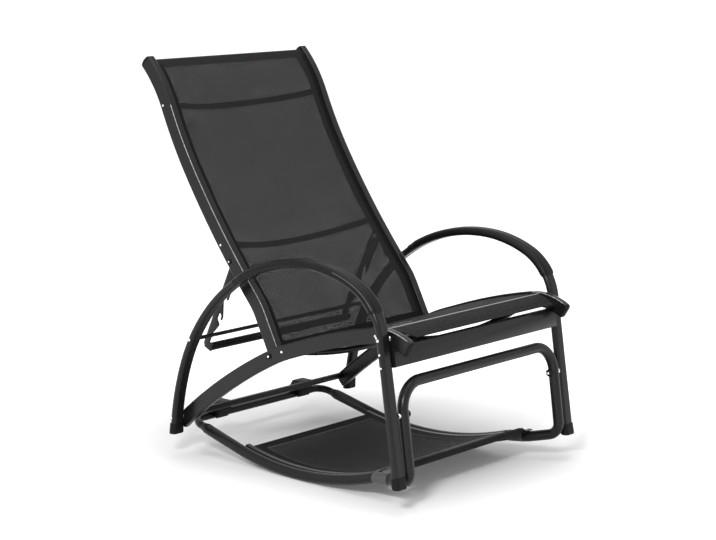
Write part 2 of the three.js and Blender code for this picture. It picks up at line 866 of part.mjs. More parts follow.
const backLean = backRailLean * rad;
const backStart = {
  y: pivot.y - backRailFoot * Math.cos(backLean) + backRailPivotOffset * Math.sin(backLean),
  z: pivot.z - backRailFoot * Math.sin(backLean) - backRailPivotOffset * Math.cos(backLean),
};
const backPath = new BendTable(backStart.y, backStart.z, backRailLean, [
  { length: backRailFoot + backRailFootLength },
  { turn: -backRailHipTurn, radius: backRailHipRadius },
  { turn: backRailLumbarTurn, radius: backRailLumbarRadius },
  { turn: backRailShoulderTurn, radius: backRailShoulderRadius },
  { turn: -backRailHeadTurn, radius: backRailHeadRadius },
]);
const backStations = backPath.stations();
const support = backPath.beside(backRailFoot + supportAlongBack, -supportBehindMiddle);

placePair('back_rail', cut(
  sweep(slottedRail(backRailWide, 1), uprightStations(backStations, -backRailX)),
  boreX(pivotBoltDiameter, -backRailOuterX - cutOverrun, -backRailInnerX + cutOverrun, pivot),
  boreX(pivotBoltDiameter, -backRailOuterX - cutOverrun, -backRailInnerX + cutOverrun, support),
), paint);
placePair('back_rail_foot', railCap(
  backPath.at(0), -1, railCapDepth, -backRailOuterX, -backRailInnerX,
), plastic);
placePair('back_rail_top_cap', railCap(
  backPath.at(backPath.length), 1, railCapDepth, -backRailOuterX, -backRailInnerX,
), plastic);

// the sling's line along the back rails is on the sitter's side, the left of their heading
const slotOffset = railDeep / 2 - slotInset;
const backBarHalf = backRailInnerX - touchGap;
const wrapRadius = topBarDiameter / 2 + clothWrapGap + clothThick / 2;
const topBarOffset = slotOffset - wrapRadius;
const topBar = backPath.beside(backPath.length - topBarInset, topBarOffset);
place('back_top_bar', barX(topBarDiameter, -backBarHalf, backBarHalf, topBar.y, topBar.z), paint);

function brace(name, s) {
  const at = backPath.beside(s, -braceOffset);
  place(name, bowedBar(
    round(braceDiameter, smallSides), backBarHalf, at.y, at.z, braceBow,
    Math.sin(at.h), -Math.cos(at.h), new THREE.Vector3(0, Math.sin(at.h), -Math.cos(at.h)),
  ), paint);
}

brace('upper_brace', backPath.length - upperBraceFromTop);
brace('middle_brace', backRailFoot + middleBraceAlong);

// back pivots: bolt through the seat rail, washer, back rail and nut
placePair('back_pivot_bolt', joined(
  barX(
    pivotBoltDiameter, -seatRailOuterX - touchGap * 2, -backRailInnerX + touchGap * 2,
    pivot.y, pivot.z, smallSides,
  ),
  barX(
    pivotHeadDiameter, -seatRailOuterX - touchGap - pivotHeadHeight, -seatRailOuterX - touchGap,
    pivot.y, pivot.z,
  ),
  barX(
    pivotNutDiameter, -backRailInnerX + touchGap, -backRailInnerX + touchGap + pivotNutHeight,
    pivot.y, pivot.z, 6,
  ),
), zinc);
placePair('back_pivot_washer', cut(
  barX(
    pivotWasherDiameter, -seatRailInnerX + touchGap, -backRailOuterX - touchGap,
    pivot.y, pivot.z,
  ),
  boreX(pivotBoltDiameter, -seatRailInnerX - cutOverrun, -backRailOuterX + cutOverrun, pivot),
), plastic);

// In the plates' own plane, u runs from their pivot to the rod at rest and v to the front.
const restReach = Math.hypot(rod.y - support.y, rod.z - support.z);
const restAngle = Math.atan2(rod.z - support.z, rod.y - support.y);
const inPlate = (u, v) => ({
  y: support.y + u * Math.cos(restAngle) + v * Math.sin(restAngle),
  z: support.z + u * Math.sin(restAngle) - v * Math.cos(restAngle),
});

// The rod's way out of the rest notch slants, because the plates swing back off it.
const pivotReach = Math.hypot(support.y - pivot.y, support.z - pivot.z);
const rodReach = Math.hypot(rod.y - pivot.y, rod.z - pivot.z);

// where the rod is in the plates' plane once the back has turned
function rodInPlate(turn) {
  const apart = Math.atan2(support.z - pivot.z, support.y - pivot.y)
    - Math.atan2(rod.z - pivot.z, rod.y - pivot.y);
  const left = apart - turn;
  const reach = Math.hypot(
    pivotReach - rodReach * Math.cos(left), rodReach * Math.sin(left),
  );
  const swing = (angle) => Math.atan2(
    rodReach * Math.sin(angle), pivotReach - rodReach * Math.cos(angle),
  );
  const natural = swing(left) - swing(apart);
  const away = turn * supportRatio - natural;
  return { u: reach * Math.cos(away), v: reach * Math.sin(away) };
}

// The front edge keeps off the rod's way, from the rest notch to past the last tooth.
const rodWay = [];
const wayParts = 40;
for (let i = 0; i <= wayParts; i += 1) rodWay.push(rodInPlate(reclineTurn * rad * i / wayParts));
const rodKeep = restRodDiameter / 2 + restClearance;

// a plate: head round the pivot, straight rear edge, front edge with the hooks
const barU = restReach + supportBarDrop;
const plate = [];
const headParts = 8;
for (let i = 0; i <= headParts; i += 1) {
  const angle = (-90 - 180 * i / headParts) * rad;
  plate.push([supportHeadRadius * Math.cos(angle), supportHeadRadius * Math.sin(angle)]);
}
const tipU = [1, 2].map((n) => restReach - n * notchPitch + hookDrop);
const [lowerTip, upperTip] = tipU;
for (const tip of [upperTip, lowerTip]) {
  plate.push([tip - hookDrop, plateFront]);
  plate.push([tip, plateFront]);
  plate.push([tip, rodKeep]);
  plate.push([tip - hookDrop, rodKeep]);
  plate.push([tip - hookDrop - rodKeep, 0]);
  plate.push([tip - hookDrop, -rodKeep]);
  plate.push([tip + hookDrop / 2, -rodKeep]);
}
plate.push([restReach - notchPitch / 2, plateFront]);
plate.push([restReach - rodKeep, plateFront]);
plate.push([restReach - rodKeep, -rodKeep]);
plate.push([restReach + rodKeep, -rodKeep]);
plate.push([barU - supportBarHeight / 2, -supportBarDepth / 2]);
plate.push([barU - supportBarHeight / 2, supportBarDepth / 2]);
plate.push([barU + supportBarHeight / 2, supportBarDepth / 2]);
plate.push([barU + supportBarHeight / 2, -plateRear + supportBarDepth / 2]);
plate.push([barU, -plateRear]);
const wayEdge = rodWay.slice(1).map((after, i) => {
  const before = rodWay[i];
  const du = after.u - before.u;
  const dv = after.v - before.v;
  const step = Math.hypot(du, dv);
  return inPlate(before.u - rodKeep * dv / step, before.v + rodKeep * du / step);
});
const wayTool = slabX([
  ...wayEdge,
  inPlate(rodWay[wayParts].u, plateFront * 4),
  inPlate(rodWay[0].u, plateFront * 4),
], -plateOuterX - cutOverrun, -plateInnerX + cutOverrun);
placePair('support_plate', cut(
  slabX(plate.map(([u, v]) => inPlate(u, v)), -plateOuterX, -plateInnerX),
  boreX(pivotBoltDiameter, -plateOuterX - cutOverrun, -plateInnerX + cutOverrun, support),
  wayTool,
), paint);

const supportBar = inPlate(barU, 0);
const supportBarEnds = [-plateInnerX + touchGap, plateInnerX - touchGap].map((x) => ({
  point: new THREE.Vector3(x, supportBar.y, supportBar.z),
  tangent: new THREE.Vector3(1, 0, 0),
  normal: new THREE.Vector3(0, Math.cos(restAngle), Math.sin(restAngle)),
}));
place('support_crossbar', sweep(
  roundedBox(supportBarHeight, supportBarDepth, supportBarCorner), supportBarEnds,
), paint);

// bolt head outside the back rail, collar between rail and plate, nut inside the plate
placePair('support_bolt', joined(
  barX(
    pivotBoltDiameter, -backRailOuterX - touchGap * 2, -plateInnerX + touchGap * 2,
    support.y, support.z, smallSides,
  ),
  barX(
    pivotHeadDiameter, -backRailOuterX - touchGap - backBoltHeadHeight,
    -backRailOuterX - touchGap, support.y, support.z,
  ),
  barX(
    supportCollarDiameter, -backRailInnerX + touchGap, -plateOuterX - touchGap,
    support.y, support.z,
  ),
  barX(
    pivotNutDiameter, -plateInnerX + touchGap, -plateInnerX + touchGap + pivotNutHeight,
    support.y, support.z, 6,
  ),
), zinc);

// hinge: bolt from inside the leg, spacer, hoop and knob
placePair('rocker_spacer', cut(
  barX(hingeSpacerDiameter, -legInnerX + touchGap, -spacerInnerX, hinge.y, hinge.z),
  boreX(hingeBoltDiameter, -legInnerX, -spacerInnerX + cutOverrun, hinge),
), zinc);
const knobOuterX = hoopX - hoopRadius - knobGap;
placePair('rocker_knob', joined(
  barX(
    hingeBoltDiameter, -legInnerX - hingeBoltDepth, -knobOuterX + touchGap,
    hinge.y, hinge.z, smallSides,
  ),
  barX(knobDiameter, -knobOuterX, -knobOuterX + knobLength * 2 / 3, hinge.y, hinge.z),
  barX(
    knobDiameter * 3 / 4, -knobOuterX + knobLength / 3, -knobOuterX + knobLength,
    hinge.y, hinge.z,
  ),
), plastic);

// runner: from the front socket back along the floor and up to its rear end, which carries
// the loop bar under the rear crossbar
const loopReach = touchGap + loopPlug + loopCorner;
const runnerPath = (() => {
  const bends = [
    { length: runnerFrontStraight },
    { turn: runnerFrontTurn, radius: runnerRadius },
    { turn: runnerRearTurn, radius: runnerRadius },
  ];
  const trial = new BendTable(0, 0, -runnerFrontTurn, bends);
  const lowest = trial.at(runnerFrontStraight + runnerFrontTurn * rad * runnerRadius);
  const flatBelow = runnerDiameter / 2 * Math.cos(Math.PI / roundSides);
  const y = hinge.y + runnerLowBehindHinge - lowest.y;
  const rearBend = trial.at(trial.length);
  const toLoop = (rearBarY + loopBehindRearBar - y - rearBend.y) / Math.cos(rearBend.h);
  bends.push({ length: toLoop - loopReach });
  return new BendTable(y, flatBelow - lowest.z, -runnerFrontTurn, bends);
})();
const runnerFrontX = hoopX - runnerFrontInset;
const runnerRearX = hoopX - runnerRearInset;
const runnerX = ({ s }) => {
  const share = s / runnerPath.length;
  return -runnerFrontX + (runnerFrontX - runnerRearX) * share * share;
};
const runnerStations = runnerPath.stations();
placePair('runner', sweep(round(runnerDiameter), uprightStations(runnerStations, runnerX)), paint);

// hoop: from the right runner's front end, up past the hinge, over and down to the left
const socket = runnerPath.at(0);
const hoopStart = new THREE.Vector3(
  -runnerFrontX, socket.y - touchGap * Math.cos(socket.h), socket.z - touchGap * Math.sin(socket.h),
);
const ankle = new THREE.Vector3(
  -hoopX + hoopAnkleInset, hinge.y + hoopAnkleBehind, hinge.z - hoopAnkleDrop,
);
const knee = new THREE.Vector3(
  -hoopX, hinge.y - hoopKneeForward, hinge.z - hoopKneeDrop,
);
const shoulder = new THREE.Vector3(
  -hoopX, hinge.y + hoopTopBehind, hinge.z + hoopTopAbove,
);
const across = (point) => new THREE.Vector3(-point.x, point.y, point.z);
const hoopStations = roundedStations(
  [hoopStart, ankle, knee, shoulder, across(shoulder), across(knee), across(ankle),
    across(hoopStart)],
  [0, hoopAnkleRadius, hoopKneeRadius, hoopTopCorner, hoopTopCorner, hoopKneeRadius,
    hoopAnkleRadius, 0],
  up,
);
facing(hoopStations[0], socket.h, -1);
facing(hoopStations[hoopStations.length - 1], socket.h, 1);
place('front_hoop', cut(
  sweep(round(hoopDiameter), hoopStations),
  boreX(hingeBoltDiameter, -hoopX - hoopDiameter, -hoopX + hoopDiameter, hinge),
  boreX(hingeBoltDiameter, hoopX - hoopDiameter, hoopX + hoopDiameter, hinge),
), paint);

// loop bar behind, between the runners' rear ends
const plug = runnerPath.at(runnerPath.length);
const plugPoint = (distance, x) => new THREE.Vector3(
  x, plug.y + distance * Math.cos(plug.h), plug.z + distance * Math.sin(plug.h),
);
const loopCorners = [
  plugPoint(touchGap, -runnerRearX),
  plugPoint(loopReach, -runnerRearX),
  plugPoint(loopReach, runnerRearX),
  plugPoint(touchGap, runnerRearX),
];
const loopStations = roundedStations(loopCorners, [0, loopCorner, loopCorner, 0], up);
facing(loopStations[0], plug.h, 1);
facing(loopStations[loopStations.length - 1], plug.h, -1);
place('rear_loop_bar', sweep(round(loopDiameter), loopStations), paint);

// clips: blocks seated on the rear crossbar, open below for the loop bar to drop out
const loopBar = plugPoint(loopReach, 0);
const swing = Math.atan2(loopBar.z - hinge.z, loopBar.y - hinge.y);
const drop = { y: Math.sin(swing), z: -Math.cos(swing) };
const jawHalf = loopDiameter / 2 + runningGap;
const jawAt = (side, down) => ({
  y: loopBar.y - drop.z * side + drop.y * down,
  z: loopBar.z + drop.y * side + drop.z * down,
});
const clipOutline = [
  jawAt(-jawHalf - clipWall, loopDiameter / 2),
  jawAt(-jawHalf, loopDiameter / 2),
  jawAt(-jawHalf, -loopDiameter / 6),
  jawAt(-jawHalf / 2, -jawHalf),
  jawAt(jawHalf / 2, -jawHalf),
  jawAt(jawHalf, -loopDiameter / 6),
  jawAt(jawHalf, loopDiameter / 2),
  jawAt(jawHalf + clipWall, loopDiameter / 2),
  { y: loopBar.y + jawHalf + clipWall, z: rearBarZ - clipWall },
  { y: loopBar.y + clipWall, z: rearBarZ + clipTop },
  { y: rearBarY, z: rearBarZ + clipTop },
  { y: rearBarY - clipWall / 2, z: rearBarZ - clipTop },
];
placePair('loop_clip', cut(
  slabX(clipOutline, -clipX - clipWidth / 2, -clipX + clipWidth / 2),
  barX(
    rearBarDiameter + touchGap * 2, -clipX - clipWidth, -clipX + clipWidth, rearBarY, rearBarZ,
    roundSides, true,
  ),
), plastic);

// its side rails lie along the runners' inner sides, so they take the runners' own line
const panelRailInset = runnerDiameter / 2 + touchGap + panelRailWide / 2;
const panelRailX = (spot) => runnerX(spot) + panelRailInset;
const railToS = runnerPath.length - panelShortOfRunner;
const panelLine = runnerPath.stations(0, railToS);
const lifted = (stations, lift) => stations.map((one) => ({
  ...one,
  y: one.y - lift * Math.sin(one.h),
  z: one.z + lift * Math.cos(one.h),
}));
const panelStations = uprightStations(lifted(panelLine, panelRailLift), panelRailX);
placePair('foot_panel_rail', sweep(
  roundedBox(panelRailTall, panelRailWide, panelRailCorner), panelStations,
), paint);

// the front bar has flat tongues on its ends, screwed down on the hoop's ankles
const rearBarPlace = lifted([runnerPath.at(railToS - panelRearBarInset)], panelRailLift)[0];
const rearBarX = -panelRailX(rearBarPlace) - panelRailWide / 2 - touchGap;
place('foot_panel_rear_bar', barX(
  panelRearBarDiameter, -rearBarX, rearBarX, rearBarPlace.y, rearBarPlace.z, smallSides,
), paint);

const panelFrontBarY = hinge.y + panelFrontBarBehindHinge;
const tongueFrontY = panelFrontBarY - panelTongueWide / 2;
const ankleIndex = hoopStations.findIndex(({ point }) => point.y < tongueFrontY);
const [ankleBefore, ankleAfter] = [ankleIndex - 1, ankleIndex].map((i) => hoopStations[i].point);
const ankleShare = (tongueFrontY - ankleBefore.y) / (ankleAfter.y - ankleBefore.y);
const anklePoint = ankleBefore.clone().lerp(ankleAfter, ankleShare);
const ankleLean = Math.atan2(ankleAfter.z - ankleBefore.z, ankleBefore.y - ankleAfter.y);
const ankleTop = anklePoint.z + hoopRadius / Math.cos(ankleLean);
const frontBarZ = ankleTop + touchGap + panelFrontBarDiameter / 2;
const frontBarX = -anklePoint.x - hoopRadius;
const tongue = slabX([
  { y: panelFrontBarY - panelTongueWide / 2, z: ankleTop + touchGap },
  { y: panelFrontBarY + panelTongueWide / 2, z: ankleTop + touchGap },
  { y: panelFrontBarY + panelTongueWide / 2, z: ankleTop + touchGap + panelTongueThick },
  { y: panelFrontBarY - panelTongueWide / 2, z: ankleTop + touchGap + panelTongueThick },
], -frontBarX - panelTongueLength, -frontBarX + panelTongueThick);
place('foot_panel_front_bar', joined(
  barX(
    panelFrontBarDiameter, -frontBarX, frontBarX, panelFrontBarY, frontBarZ, smallSides,
  ),
  tongue,
  mirrored(tongue),
), paint);

// places across X for a cloth's columns, closer together at the hems
const columnShares = [-1, -0.9, -0.66, -0.4, 0, 0.4, 0.66, 0.9, 1];

// A thin strip in Y and Z along a line of points with their headings: one side there, the
// other side back.
function strip(line, thick) {
  const side = (offset) => line.map(({ x, y, z, h }) => ({
    x,
    y: y - offset * Math.sin(h),
    z: z + offset * Math.cos(h),
  }));
  return [...side(-thick / 2), ...side(thick / 2).reverse()];
}

// a line of cloth round a bar, from its left side over the front to a tail behind
function wrapRound(centre, h, radius, from, to, parts) {
  const line = [];
  for (let i = 0; i <= parts; i += 1) {
    const turn = (from + ((to - from) * i) / parts) * rad;
    line.push({
      y: centre.y + radius * Math.cos(h + turn),
      z: centre.z + radius * Math.sin(h + turn),
      h: h + turn - Math.PI / 2,
    });
  }
  return line;
}

// back sling: in the rails' slots, over the top bar and stitched down behind
const backClothS = backRailFoot + backClothFromPivot;
const topBarS = backPath.length - topBarInset;
const backColumns = columnShares.map((share) => {
  const inSlotX = share * (backRailInnerX + clothInSlot);
  const clearX = share * (backRailInnerX - touchGap);
  const sag = (s) => {
    const along = (topBarS - s) / (topBarS - backClothS);
    return backSag * (1 - share * share) * Math.sin(Math.min(1, along * 2) * Math.PI / 2);
  };
  const leavesSlotS = topBarS - topBarDiameter / 2;
  const face = backPath.stations(backClothS, leavesSlotS).map(({ s }) => ({
    ...backPath.beside(s, slotOffset - sag(s)), x: inSlotX,
  }));
  const wrap = wrapRound(topBar, backPath.at(topBarS).h, wrapRadius, 90, 90 - backHemTurn, 10);
  const tail = backPath.beside(topBarS - backHem + wrapRadius, slotOffset - clothThick * 2);
  const last = wrap[wrap.length - 1];
  tail.h = Math.atan2(tail.z - last.z, tail.y - last.y);
  last.h = tail.h;
  const free = [...wrap, tail].map((one) => ({ ...one, x: clearX }));
  return strip([...face, ...free], clothThick);
});
place('back_sling', loftedCloth(backColumns.map((outline) => ({ outline }))), cloth);

// seat sling: in the slots along the rails, drawn in to its front hem, which folds down
const seatClothRearS = backPivotAlongSeat + seatClothFromPivot;
const seatClothFrontS = seatPath.length;
const seatColumns = columnShares.map((share) => {
  const line = seatPath.stations(seatClothRearS, seatClothFrontS).map(({ s }) => {
    const along = (s - seatClothRearS) / (seatClothFrontS - seatClothRearS);
    const drawnIn = Math.max(0, s - seatClothFrontS + seatClothTaper) / seatClothTaper;
    const ease = drawnIn * drawnIn * (3 - drawnIn * 2);
    const wide = seatRailInnerX + clothInSlot;
    const sag = seatSag * (1 - share * share) * Math.sin(Math.PI * along);
    return {
      ...seatPath.beside(s, sag - slotOffset),
      x: share * (wide - (seatClothFrontInset + clothInSlot) * ease),
    };
  });
  const end = line[line.length - 1];
  const fold = {
    ...end,
    y: end.y + seatHemDrop * Math.sin(end.h) / 2,
    z: end.z - seatHemDrop,
    h: end.h + seatHemTurn * rad,
  };
  end.h += seatHemTurn * rad / 3;
  return strip([...line, fold], clothThick);
});
place('seat_sling', loftedCloth(seatColumns.map((outline) => ({ outline }))), cloth);

// foot sling: between the panel's side rails, stitched round the bars at both ends
const rearWrap = panelRearBarDiameter / 2 + clothWrapGap + clothThick / 2;
const frontWrap = panelFrontBarDiameter / 2 + clothWrapGap + clothThick / 2;
const footClothLift = panelRailLift + rearWrap;
const footLine = lifted(
  runnerPath.stations(0, railToS - panelRearBarInset), footClothLift,
);
const frontBarPlace = { y: panelFrontBarY, z: frontBarZ };
const footStart = footLine[0];
const slope = Math.atan2(footStart.z - frontBarZ - frontWrap, footStart.y - panelFrontBarY);
const frontHem = wrapRound(frontBarPlace, slope, frontWrap, 270, 90, 8);
const rearHem = wrapRound(rearBarPlace, rearBarPlace.h, rearWrap, 90, -90, 8);
const footColumns = columnShares.map((share) => {
  const reach = (one) => share * (-panelRailX(one) - panelRailWide / 2 - touchGap);
  const middle = footLine.slice(0, -1).map((one, i) => {
    const sag = panelSag * (1 - share * share) * Math.sin(Math.PI * i / (footLine.length - 1));
    return {
      ...one,
      y: one.y + sag * Math.sin(one.h),
      z: one.z - sag * Math.cos(one.h),
      x: reach(one),
    };
  });
  const hem = (line, x) => line.map((one) => ({ ...one, x }));
  return strip([
    ...hem(frontHem, reach(footStart)),
    ...middle,
    ...hem(rearHem, reach(rearBarPlace)),
  ], clothThick);
});
place('foot_sling', loftedCloth(footColumns.map((outline) => ({ outline }))), cloth);

// the origin lies under the middle of the whole depth
const lounge = new THREE.Group();
lounge.add(chair);
const extent = new THREE.Box3().setFromObject(chair);
chair.position.y = -(extent.min.y + extent.max.y) / 2;

export default lounge;
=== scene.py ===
# %% [markdown]
# # A rocking chaise lounge of black tube and mesh
# The chair is bent aluminium tube under a satin black powder coat. Three slings of coated
# mesh carry the sitter, and a frame of two curved runners swings out from under it. The
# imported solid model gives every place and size. It stays here as a fixed frame, and this
# script lays finely finished pieces over it, in metres and on the same axes.

# %% Load the solid model
import math

import bmesh
import bpy
import numpy as np
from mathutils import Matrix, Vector


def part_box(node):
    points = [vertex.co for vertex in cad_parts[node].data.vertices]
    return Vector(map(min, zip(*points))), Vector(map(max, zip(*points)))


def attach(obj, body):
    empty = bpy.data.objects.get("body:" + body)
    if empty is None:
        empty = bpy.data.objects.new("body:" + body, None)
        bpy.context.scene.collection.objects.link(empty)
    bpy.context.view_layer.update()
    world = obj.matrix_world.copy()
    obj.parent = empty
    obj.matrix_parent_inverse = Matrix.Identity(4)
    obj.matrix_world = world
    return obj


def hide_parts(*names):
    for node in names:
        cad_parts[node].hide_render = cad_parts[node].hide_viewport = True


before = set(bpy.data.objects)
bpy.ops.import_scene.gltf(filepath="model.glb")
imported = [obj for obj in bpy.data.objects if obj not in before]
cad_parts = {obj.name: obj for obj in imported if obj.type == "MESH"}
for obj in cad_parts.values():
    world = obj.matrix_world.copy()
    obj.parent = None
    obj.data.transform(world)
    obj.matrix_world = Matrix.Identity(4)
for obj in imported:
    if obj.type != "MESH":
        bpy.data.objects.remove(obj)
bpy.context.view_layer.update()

# %% [markdown]
# ## Camera
# A chair like this is photographed from well back with a long lens, so that near and far
# tubes look almost equally thick. The camera could be placed by eye. Here its place, aim and
# lens were fitted to matching points on the two side frames, so they aren't round numbers.

# %% Set the camera
TILT, TURN = 79.82, -48.14  # degrees: from straight down, and round the upright axis

lens = bpy.data.cameras.new("studio_camera")
lens.lens = 97.3
lens.sensor_width = 36
camera = bpy.data.objects.new("studio_camera", lens)
camera.location = (-3.637, -3.2797, 1.370)
camera.rotation_euler = (math.radians(TILT), 0, math.radians(TURN))
bpy.context.scene.collection.objects.link(camera)
bpy.context.scene.camera = camera
print("camera looks down by", round(90 - TILT, 2), "degrees")

# %% [markdown]
# ## Floor, backdrop and light
# The studio is white all round and the chair leaves only a soft shadow. More light would burn
# the floor to white, but it would also wash out the black tubes. So the lamps stay at a plain
# level, and the floor and the surroundings show white only to what looks at them: the camera,
# the gloss of the paint, and rays that go through clear matter.

# %% Short calls for material nodes
def plug(tree, socket, value):
    """Links an output to a socket, or writes a constant into it."""
    if isinstance(value, bpy.types.NodeSocket):
        tree.links.new(value, socket)
    else:
        socket.default_value = value


def node(tree, kind, **inputs):
    """Adds a shader node. Input names have _ for spaces."""
    made = tree.nodes.new("ShaderNode" + kind)
    for name, value in inputs.items():
        plug(tree, made.inputs[name.replace("_", " ")], value)
    return made


def calc(tree, operation, *values):
    """One Math node; each value is a number or another node's output."""
    made = tree.nodes.new("ShaderNodeMath")
    made.operation = operation
    for socket, value in zip(made.inputs, values):
        plug(tree, socket, value)
    return made.outputs[0]


def seen_directly(tree):
    """1 for rays from the camera, from gloss and through clear matter, else 0."""
    ray = node(tree, "LightPath").outputs
    either = calc(tree, "MAXIMUM", ray["Is Camera Ray"], ray["Is Glossy Ray"])
    return calc(tree, "MAXIMUM", either, ray["Is Transmission Ray"])


# %% Make the floor and the white surroundings
SURROUND_LIGHT = 0.5  # what the surroundings give to every surface
# painted shade: the floor glows less under the chair, which deepens the chair's real shadow there
GLOW_NEAR, GLOW_FAR = 0.10, 0.70  # what the floor adds, under the chair and far from it
GLOW_FROM, GLOW_TO = 0.45, 1.1  # metres from the chair's middle between which it grows

floor_paint = bpy.data.materials.new("studio_floor_white")
floor_paint.use_nodes = True
tree = floor_paint.node_tree
tree.nodes.clear()
matt = node(tree, "BsdfDiffuse", Color=(0.86, 0.86, 0.86, 1))
from_chair = node(tree, "VectorMath", Vector=node(tree, "TexCoord").outputs["Object"])
from_chair.operation = "LENGTH"
away = node(tree, "MapRange", Value=from_chair.outputs["Value"], From_Min=GLOW_FROM,
            From_Max=GLOW_TO, To_Min=GLOW_NEAR, To_Max=GLOW_FAR)
away.interpolation_type = "SMOOTHSTEP"
glow = node(tree, "Emission",
            Strength=calc(tree, "MULTIPLY", seen_directly(tree), away.outputs[0]))
both = node(tree, "AddShader")
tree.links.new(matt.outputs[0], both.inputs[0])
tree.links.new(glow.outputs[0], both.inputs[1])
node(tree, "OutputMaterial", Surface=both.outputs[0])

half_floor = 60.0
floor_mesh = bpy.data.meshes.new("studio_floor")
corners = np.array([(-1, -1, 0), (1, -1, 0), (1, 1, 0), (-1, 1, 0)]) * half_floor
floor_mesh.from_pydata(corners.tolist(), [], [(0, 1, 2, 3)])
floor_mesh.materials.append(floor_paint)
floor = bpy.data.objects.new("studio_floor", floor_mesh)
bpy.context.scene.collection.objects.link(floor)

world = bpy.data.worlds.new("white_surroundings")
world.use_nodes = True
bpy.context.scene.world = world
sky = world.node_tree
looked_at = calc(sky, "MULTIPLY", seen_directly(sky), 1 - SURROUND_LIGHT)
sky.nodes["Background"].inputs["Color"].default_value = (1, 1, 1, 1)
plug(sky, sky.nodes["Background"].inputs["Strength"],
     calc(sky, "ADD", looked_at, SURROUND_LIGHT))
bpy.context.scene.view_settings.view_transform = "Standard"
print("surroundings give", SURROUND_LIGHT, "and show as white")

# %% Hang the soft boxes
AIM = (0, 0, 0.45)  # the middle of the chair


def soft_box(name, place, width, height, watts):
    """A rectangular lamp at a place, turned so that its light points at the aim."""
    lamp = bpy.data.lights.new(name, "AREA")
    lamp.shape = "RECTANGLE"
    lamp.size, lamp.size_y, lamp.energy = width, height, watts
    box = bpy.data.objects.new(name, lamp)
    box.location = place
    way = Vector([a - p for a, p in zip(AIM, place)])
    box.rotation_euler = way.to_track_quat("-Z", "Y").to_euler()
    bpy.context.scene.collection.objects.link(box)


soft_box("overhead_box", (-0.4, -0.3, 3.4), 2.6, 2.6, 62)
soft_box("left_strip", (-3.2, 1.4, 2.0), 0.25, 2.4, 20)
soft_box("right_strip", (2.2, -3.2, 1.7), 0.25, 2.2, 7)
soft_box("camera_side_box", (-2.6, -1.6, 1.9), 0.5, 0.35, 60)
print("four soft boxes")

# %% [markdown]
# ## Lines of bent tube
# A tube bender works from a bend table: so much straight, then a turn of so many degrees on a
# die of some radius. A Bezier curve could be laid over the picture instead, but it never has
# the bender's even arcs. Each table below lies in an upright plane and is worked out for many
# distances at once.

# %% Read a bend table
MM = 0.001


def running(steps):
    """The sum of a row of steps before each of them and after the last."""
    return np.concatenate([[0], np.cumsum(steps)])


def centre_of(node_name):
    """The middle of a solid's box: x, y and z."""
    return [(low + high) / 2 for low, high in zip(*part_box(node_name))]


PIVOT_Y, PIVOT_Z = 66.035 * MM, 317.041 * MM
# the tables count Y from the middle of the feet, the model from under its whole depth
SHIFT_Y = centre_of("back_pivot_washer_right")[1] - PIVOT_Y


def in_tables(node_name):
    """Y and Z of the middle of a solid's box, as the bend tables count them."""
    _, y, z = centre_of(node_name)
    return y - SHIFT_Y, z


def arc(radius, turn):
    """A bend of a radius in millimetres and a turn in degrees: its length and its turn."""
    return radius * math.radians(abs(turn)), turn


class BendTable:
    """A line in the plane of Y and Z, from moves of (length in mm, turn in degrees).

    Along a straight the place moves by d (cos h, sin h). Along an arc of curvature k it moves
    by (sin(h + k d) - sin h, cos h - cos(h + k d)) / k, and the heading grows by k d.
    """

    def __init__(self, y, z, heading, *moves):
        length, turn = np.array(moves, float).T
        length, turn = length * MM, np.radians(turn)
        self.length = length.sum()
        self.start = running(length)[:-1]
        self.heading = math.radians(heading) + running(turn)[:-1]
        self.curve = turn / length
        step_y, step_z = self.step(self.heading, self.curve, length)
        self.y, self.z = y + running(step_y)[:-1], z + running(step_z)[:-1]

    def step(self, h, k, d):
        bent = np.abs(k) > 1e-9
        k_safe = np.where(bent, k, 1)
        end = h + k * d
        return (np.where(bent, (np.sin(end) - np.sin(h)) / k_safe, d * np.cos(h)),
                np.where(bent, (np.cos(h) - np.cos(end)) / k_safe, d * np.sin(h)))

    def at(self, s, beside=0.0):
        """Y, Z and heading at distances s, set off to the left of the heading."""
        s = np.asarray(s, float)
        i = np.clip(np.searchsorted(self.start, s, side="right") - 1, 0, len(self.start) - 1)
        d = s - self.start[i]
        step_y, step_z = self.step(self.heading[i], self.curve[i], d)
        h = self.heading[i] + self.curve[i] * d
        return self.y[i] + step_y - beside * np.sin(h), self.z[i] + step_z + beside * np.cos(h), h

    def where_z(self, z, low, high):
        """The distance at which the line passes a height, between two distances."""
        s = np.linspace(low, high, 4001)
        heights = self.at(s)[1]
        order = np.argsort(heights)
        return float(np.interp(z, heights[order], s[order]))


# %% Write the bend tables
def line_from(y, z, heading, back, left, *moves):
    """A bend table that starts so many mm behind the place (y, z) and to the left of it."""
    h = math.radians(heading)
    return BendTable(y - (back * math.cos(h) + left * math.sin(h)) * MM,
                     z - (back * math.sin(h) - left * math.cos(h)) * MM, heading, *moves)


FOOT_Z = 70 * MM  # the soles hang this high while the chair stands on its runners
LEG_LEAN = 81.4
side_line = BendTable(-375.4 * MM, FOOT_Z, LEG_LEAN, (358, 0), arc(146, -56.77), arc(340, -20.68),
                      arc(450, -32.46), arc(476, -41.1), arc(663, -15.5), (160, 0))
arm_top = side_line.start[3]
rear_foot = side_line.where_z(FOOT_Z, arm_top, side_line.length)
REAR_BAR_Y, REAR_BAR_Z = in_tables("rear_crossbar")
SEAT_PIVOT, BACK_PIVOT = 387.4 * MM, 11 * MM  # where the pivot lies along each rail
seat_front = [(60, 0), arc(1605, 8.2), arc(155, 40.7)]
seat_line = line_from(REAR_BAR_Y, REAR_BAR_Z, 145.6, 9.6, 10.4, (320, 0), arc(490, 15.2),
                      *seat_front)
back_line = line_from(PIVOT_Y, PIVOT_Z, 62.9, 11, -4, (117.4, 0), arc(182, -13.8),
                      arc(2393, 9), arc(1167, 8.8), arc(356, -21.7))
